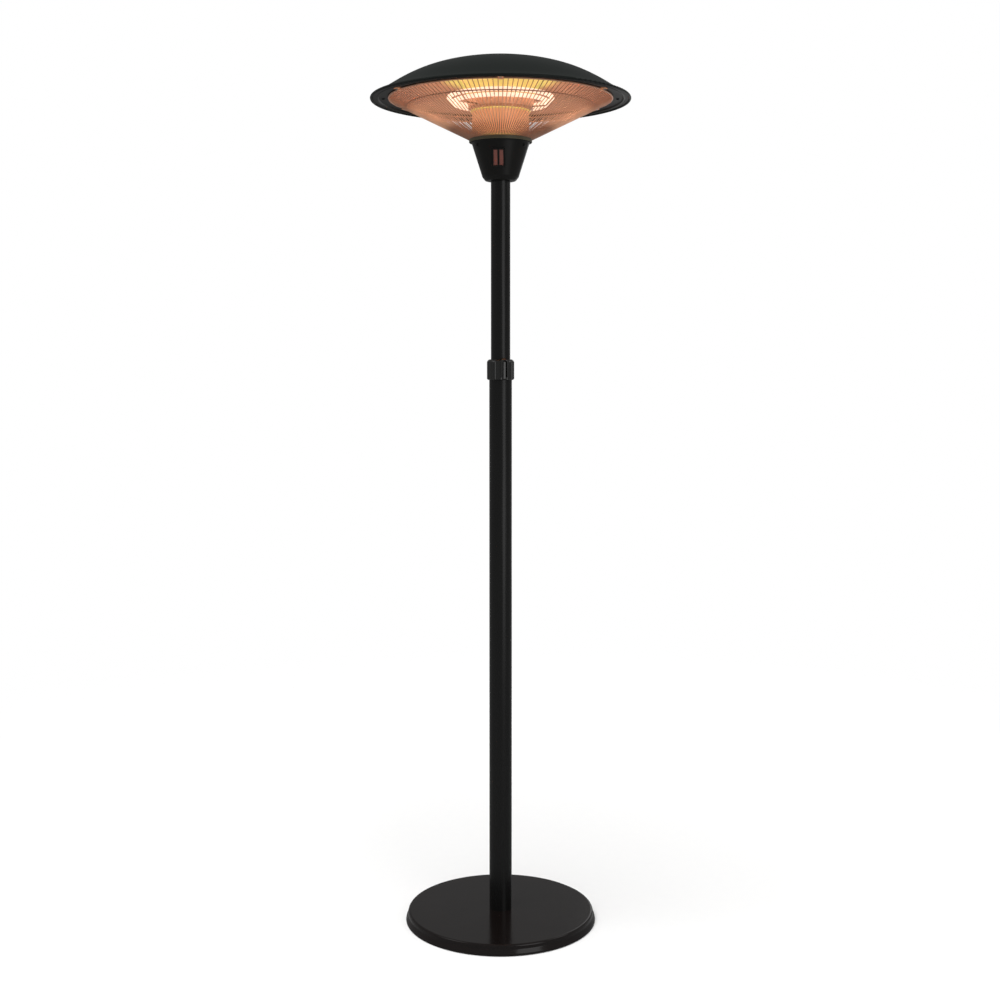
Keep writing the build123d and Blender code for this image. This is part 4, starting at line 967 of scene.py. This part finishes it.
def lamp_line(sizes, ring, height, foot, turn):
    """Centre line of a lamp as evenly spaced points: leg, elbow, ring, elbow, leg."""
    half = sizes.leg_gap / 2
    elbow_y = half + sizes.elbow
    elbow_x = sqrt((ring - sizes.elbow) ** 2 - elbow_y ** 2)
    meet = atan2(elbow_y, elbow_x)
    step = 0.0004
    leg = [(foot + step * index, half) for index in range(int((elbow_x - foot) / step))]
    bend = [
        (elbow_x + sizes.elbow * cos(angle), elbow_y + sizes.elbow * sin(angle))
        for angle in np.arange(-pi / 2, meet, step / sizes.elbow)
    ]
    arc = [
        (ring * cos(angle), ring * sin(angle))
        for angle in np.arange(meet, tau - meet, step / ring)
    ]
    back = [(x, -y) for x, y in reversed(leg + bend)]
    aim = radians(turn - 90)
    return [
        Vector((x * cos(aim) - y * sin(aim), x * sin(aim) + y * cos(aim), height))
        for x, y in leg + bend + arc + back
    ]


def coiled(line, sizes):
    """Turns a level line into a coil round it."""
    corners_per_turn = 10
    steps = sizes.turns * corners_per_turn
    points = []
    for step in range(steps + 1):
        spot = step / steps * (len(line) - 2)
        index = int(spot)
        here = line[index].lerp(line[index + 1], spot - index)
        side = (line[index + 1] - line[index]).normalized().cross(Vector((0, 0, 1)))
        turn = tau * sizes.turns * step / steps
        rise = Vector((0, 0, sizes.coil * sin(turn)))
        points.append(here + side * (sizes.coil * cos(turn)) + rise)
    return points


class HEATER_OT_screws(Builder):
    """Cross-recessed screws of the housing, the rim and the guard clips"""
    bl_idname = "heater.screws"
    bl_label = "Screws"

    def build(self, scene):
        metal = black_screw()

        def outwards(middle):
            flat = Vector((middle[0], middle[1], 0)).normalized()
            return flat * cos(HOUSING_LEAN) - Vector((0, 0, sin(HOUSING_LEAN)))

        def downwards(middle):
            return (0, 0, -1)

        # head and shank are each a radius and a height
        screw_row("housing_screw_heads", "housing_screws", "mast", "black_screw", metal, outwards,
                  head=(0.00375, 0.0023), shank=(0.002, 0.005))
        screw_row("rim_screw_heads", "rim_screws", "mast", "black_screw", metal, downwards,
                  head=(0.004, 0.0022), shank=(0.002, 0.006))
        screw_row("clip_screw_heads", "guard_clip_screws", "mast", "black_screw", zinc(),
                  downwards, head=(0.0035, 0.0018), shank=(0.002, 0.0045))


def soft_panel(name, place, size, aim, brightness):
    """Rectangular light of a given brightness that faces a point."""
    data = bpy.data.lights.new(name, "AREA")
    data.shape = "RECTANGLE"
    data.size, data.size_y = size
    data.energy = brightness * pi * size[0] * size[1]
    panel = bpy.data.objects.new(name, data)
    bpy.context.scene.collection.objects.link(panel)
    panel.location = place
    panel.rotation_euler = (Vector(aim) - Vector(place)).to_track_quat("-Z", "Y").to_euler()
    panel.visible_camera = False


class HEATER_OT_stage(Builder):
    """Pale floor, white surround, soft lights and the camera"""
    bl_idname = "heater.stage"
    bl_label = "Stage"

    def build(self, scene):
        studio = scene.heater_studio
        reach = 12.0
        corners = [(-reach, -reach, 0), (reach, -reach, 0), (reach, reach, 0), (-reach, reach, 0)]
        floor = bpy.data.objects.new(
            "studio_floor", mesh_of("studio_floor", corners, [(0, 1, 2, 3)], pale_floor(), False))
        scene.collection.objects.link(floor)
        floor.visible_glossy = False
        dome = self.white_dome(scene)
        world = bpy.data.worlds.new("studio_world")
        scene.world = world
        world.use_nodes = True
        sky = Nodes(world.node_tree)
        sky.tree.nodes.clear()
        grey = sky.add("ShaderNodeBackground", None, {
            "Color": (1.0, 1.0, 1.0, 1.0), "Strength": studio.sky})
        sky.add("ShaderNodeOutputWorld", None, {"Surface": grey})
        self.lights(scene, studio)
        self.camera(scene, studio)
        scene.view_settings.view_transform = "Standard"

    @staticmethod
    def white_dome(scene):
        """Surround that only the camera sees."""
        radius, steps, rows = 30.0, 32, 16
        points = [
            (radius * sin(pi * row / rows) * cos(tau * step / steps),
             radius * sin(pi * row / rows) * sin(tau * step / steps),
             radius * cos(pi * row / rows))
            for row in range(rows + 1) for step in range(steps)
        ]
        faces = [
            (row * steps + step, row * steps + (step + 1) % steps,
             (row + 1) * steps + (step + 1) % steps, (row + 1) * steps + step)
            for row in range(rows) for step in range(steps)
        ]
        dome = bpy.data.objects.new(
            "studio_air", mesh_of("studio_air", points, faces, white_air()))
        scene.collection.objects.link(dome)
        for ray in ("diffuse", "glossy", "transmission", "shadow", "volume_scatter"):
            setattr(dome, f"visible_{ray}", False)
        return dome

    @staticmethod
    def lights(scene, studio):
        data = bpy.data.lights.new("overhead", "SUN")
        data.energy = studio.sun
        data.angle = radians(50)
        sun = bpy.data.objects.new("overhead", data)
        scene.collection.objects.link(sun)
        sun.rotation_euler = (radians(18), radians(-10), 0)
        sun.visible_glossy = False
        middle = (0, 0, 1.1)
        soft_panel("front_right", (1.8, -2.5, 1.3), (1.6, 2.4), middle, studio.panel * 1.25)
        soft_panel("high_left", (-2.2, -0.4, 2.9), (1.4, 1.4), (0, 0, 0.6), studio.panel * 1.2)
        soft_panel("high_right", (2.4, 0.4, 2.7), (1.2, 1.2), (0, 0, 0.4), studio.panel * 1.2)
        soft_panel("behind_right", (1.0, 3.0, 1.4), (1.0, 2.2), middle, studio.panel * 0.9)

    @staticmethod
    def camera(scene, studio):
        data = bpy.data.cameras.new("camera")
        data.lens = studio.lens
        data.sensor_width = 36.0
        data.shift_x = -0.0006
        data.shift_y = studio.shift
        camera = bpy.data.objects.new("camera", data)
        scene.collection.objects.link(camera)
        camera.location = (0, -studio.distance, studio.height)
        camera.rotation_euler = (pi / 2 - studio.pitch, 0, 0)
        scene.camera = camera


OPERATORS = [
    HEATER_OT_base, HEATER_OT_mast, HEATER_OT_lock, HEATER_OT_housing, HEATER_OT_switches,
    HEATER_OT_copper, HEATER_OT_hood, HEATER_OT_guard, HEATER_OT_lamps, HEATER_OT_screws,
    HEATER_OT_stage,
]


class HEATER_PT_panel(bpy.types.Panel):
    """Lists the heater's pieces in the 3D view's sidebar"""
    bl_label = "Patio heater"
    bl_space_type = "VIEW_3D"
    bl_region_type = "UI"
    bl_category = "Heater"

    def draw(self, context):
        for group in GROUPS:
            box = self.layout.box()
            settings = getattr(context.scene, group)
            for name in settings.__annotations__:
                box.prop(settings, name)
        for operator in OPERATORS:
            self.layout.operator(operator.bl_idname)


def register():
    for group, kind in GROUPS.items():
        bpy.utils.register_class(kind)
        setattr(bpy.types.Scene, group, PointerProperty(type=kind))
    for kind in (*OPERATORS, HEATER_PT_panel):
        bpy.utils.register_class(kind)


def unregister():
    for kind in (HEATER_PT_panel, *reversed(OPERATORS)):
        bpy.utils.unregister_class(kind)
    for group, kind in reversed(GROUPS.items()):
        delattr(bpy.types.Scene, group)
        bpy.utils.unregister_class(kind)


def main():
    register()
    for operator in OPERATORS:
        family, name = operator.bl_idname.split(".")
        getattr(getattr(bpy.ops, family), name)()


if __name__ == "__main__":
    main()
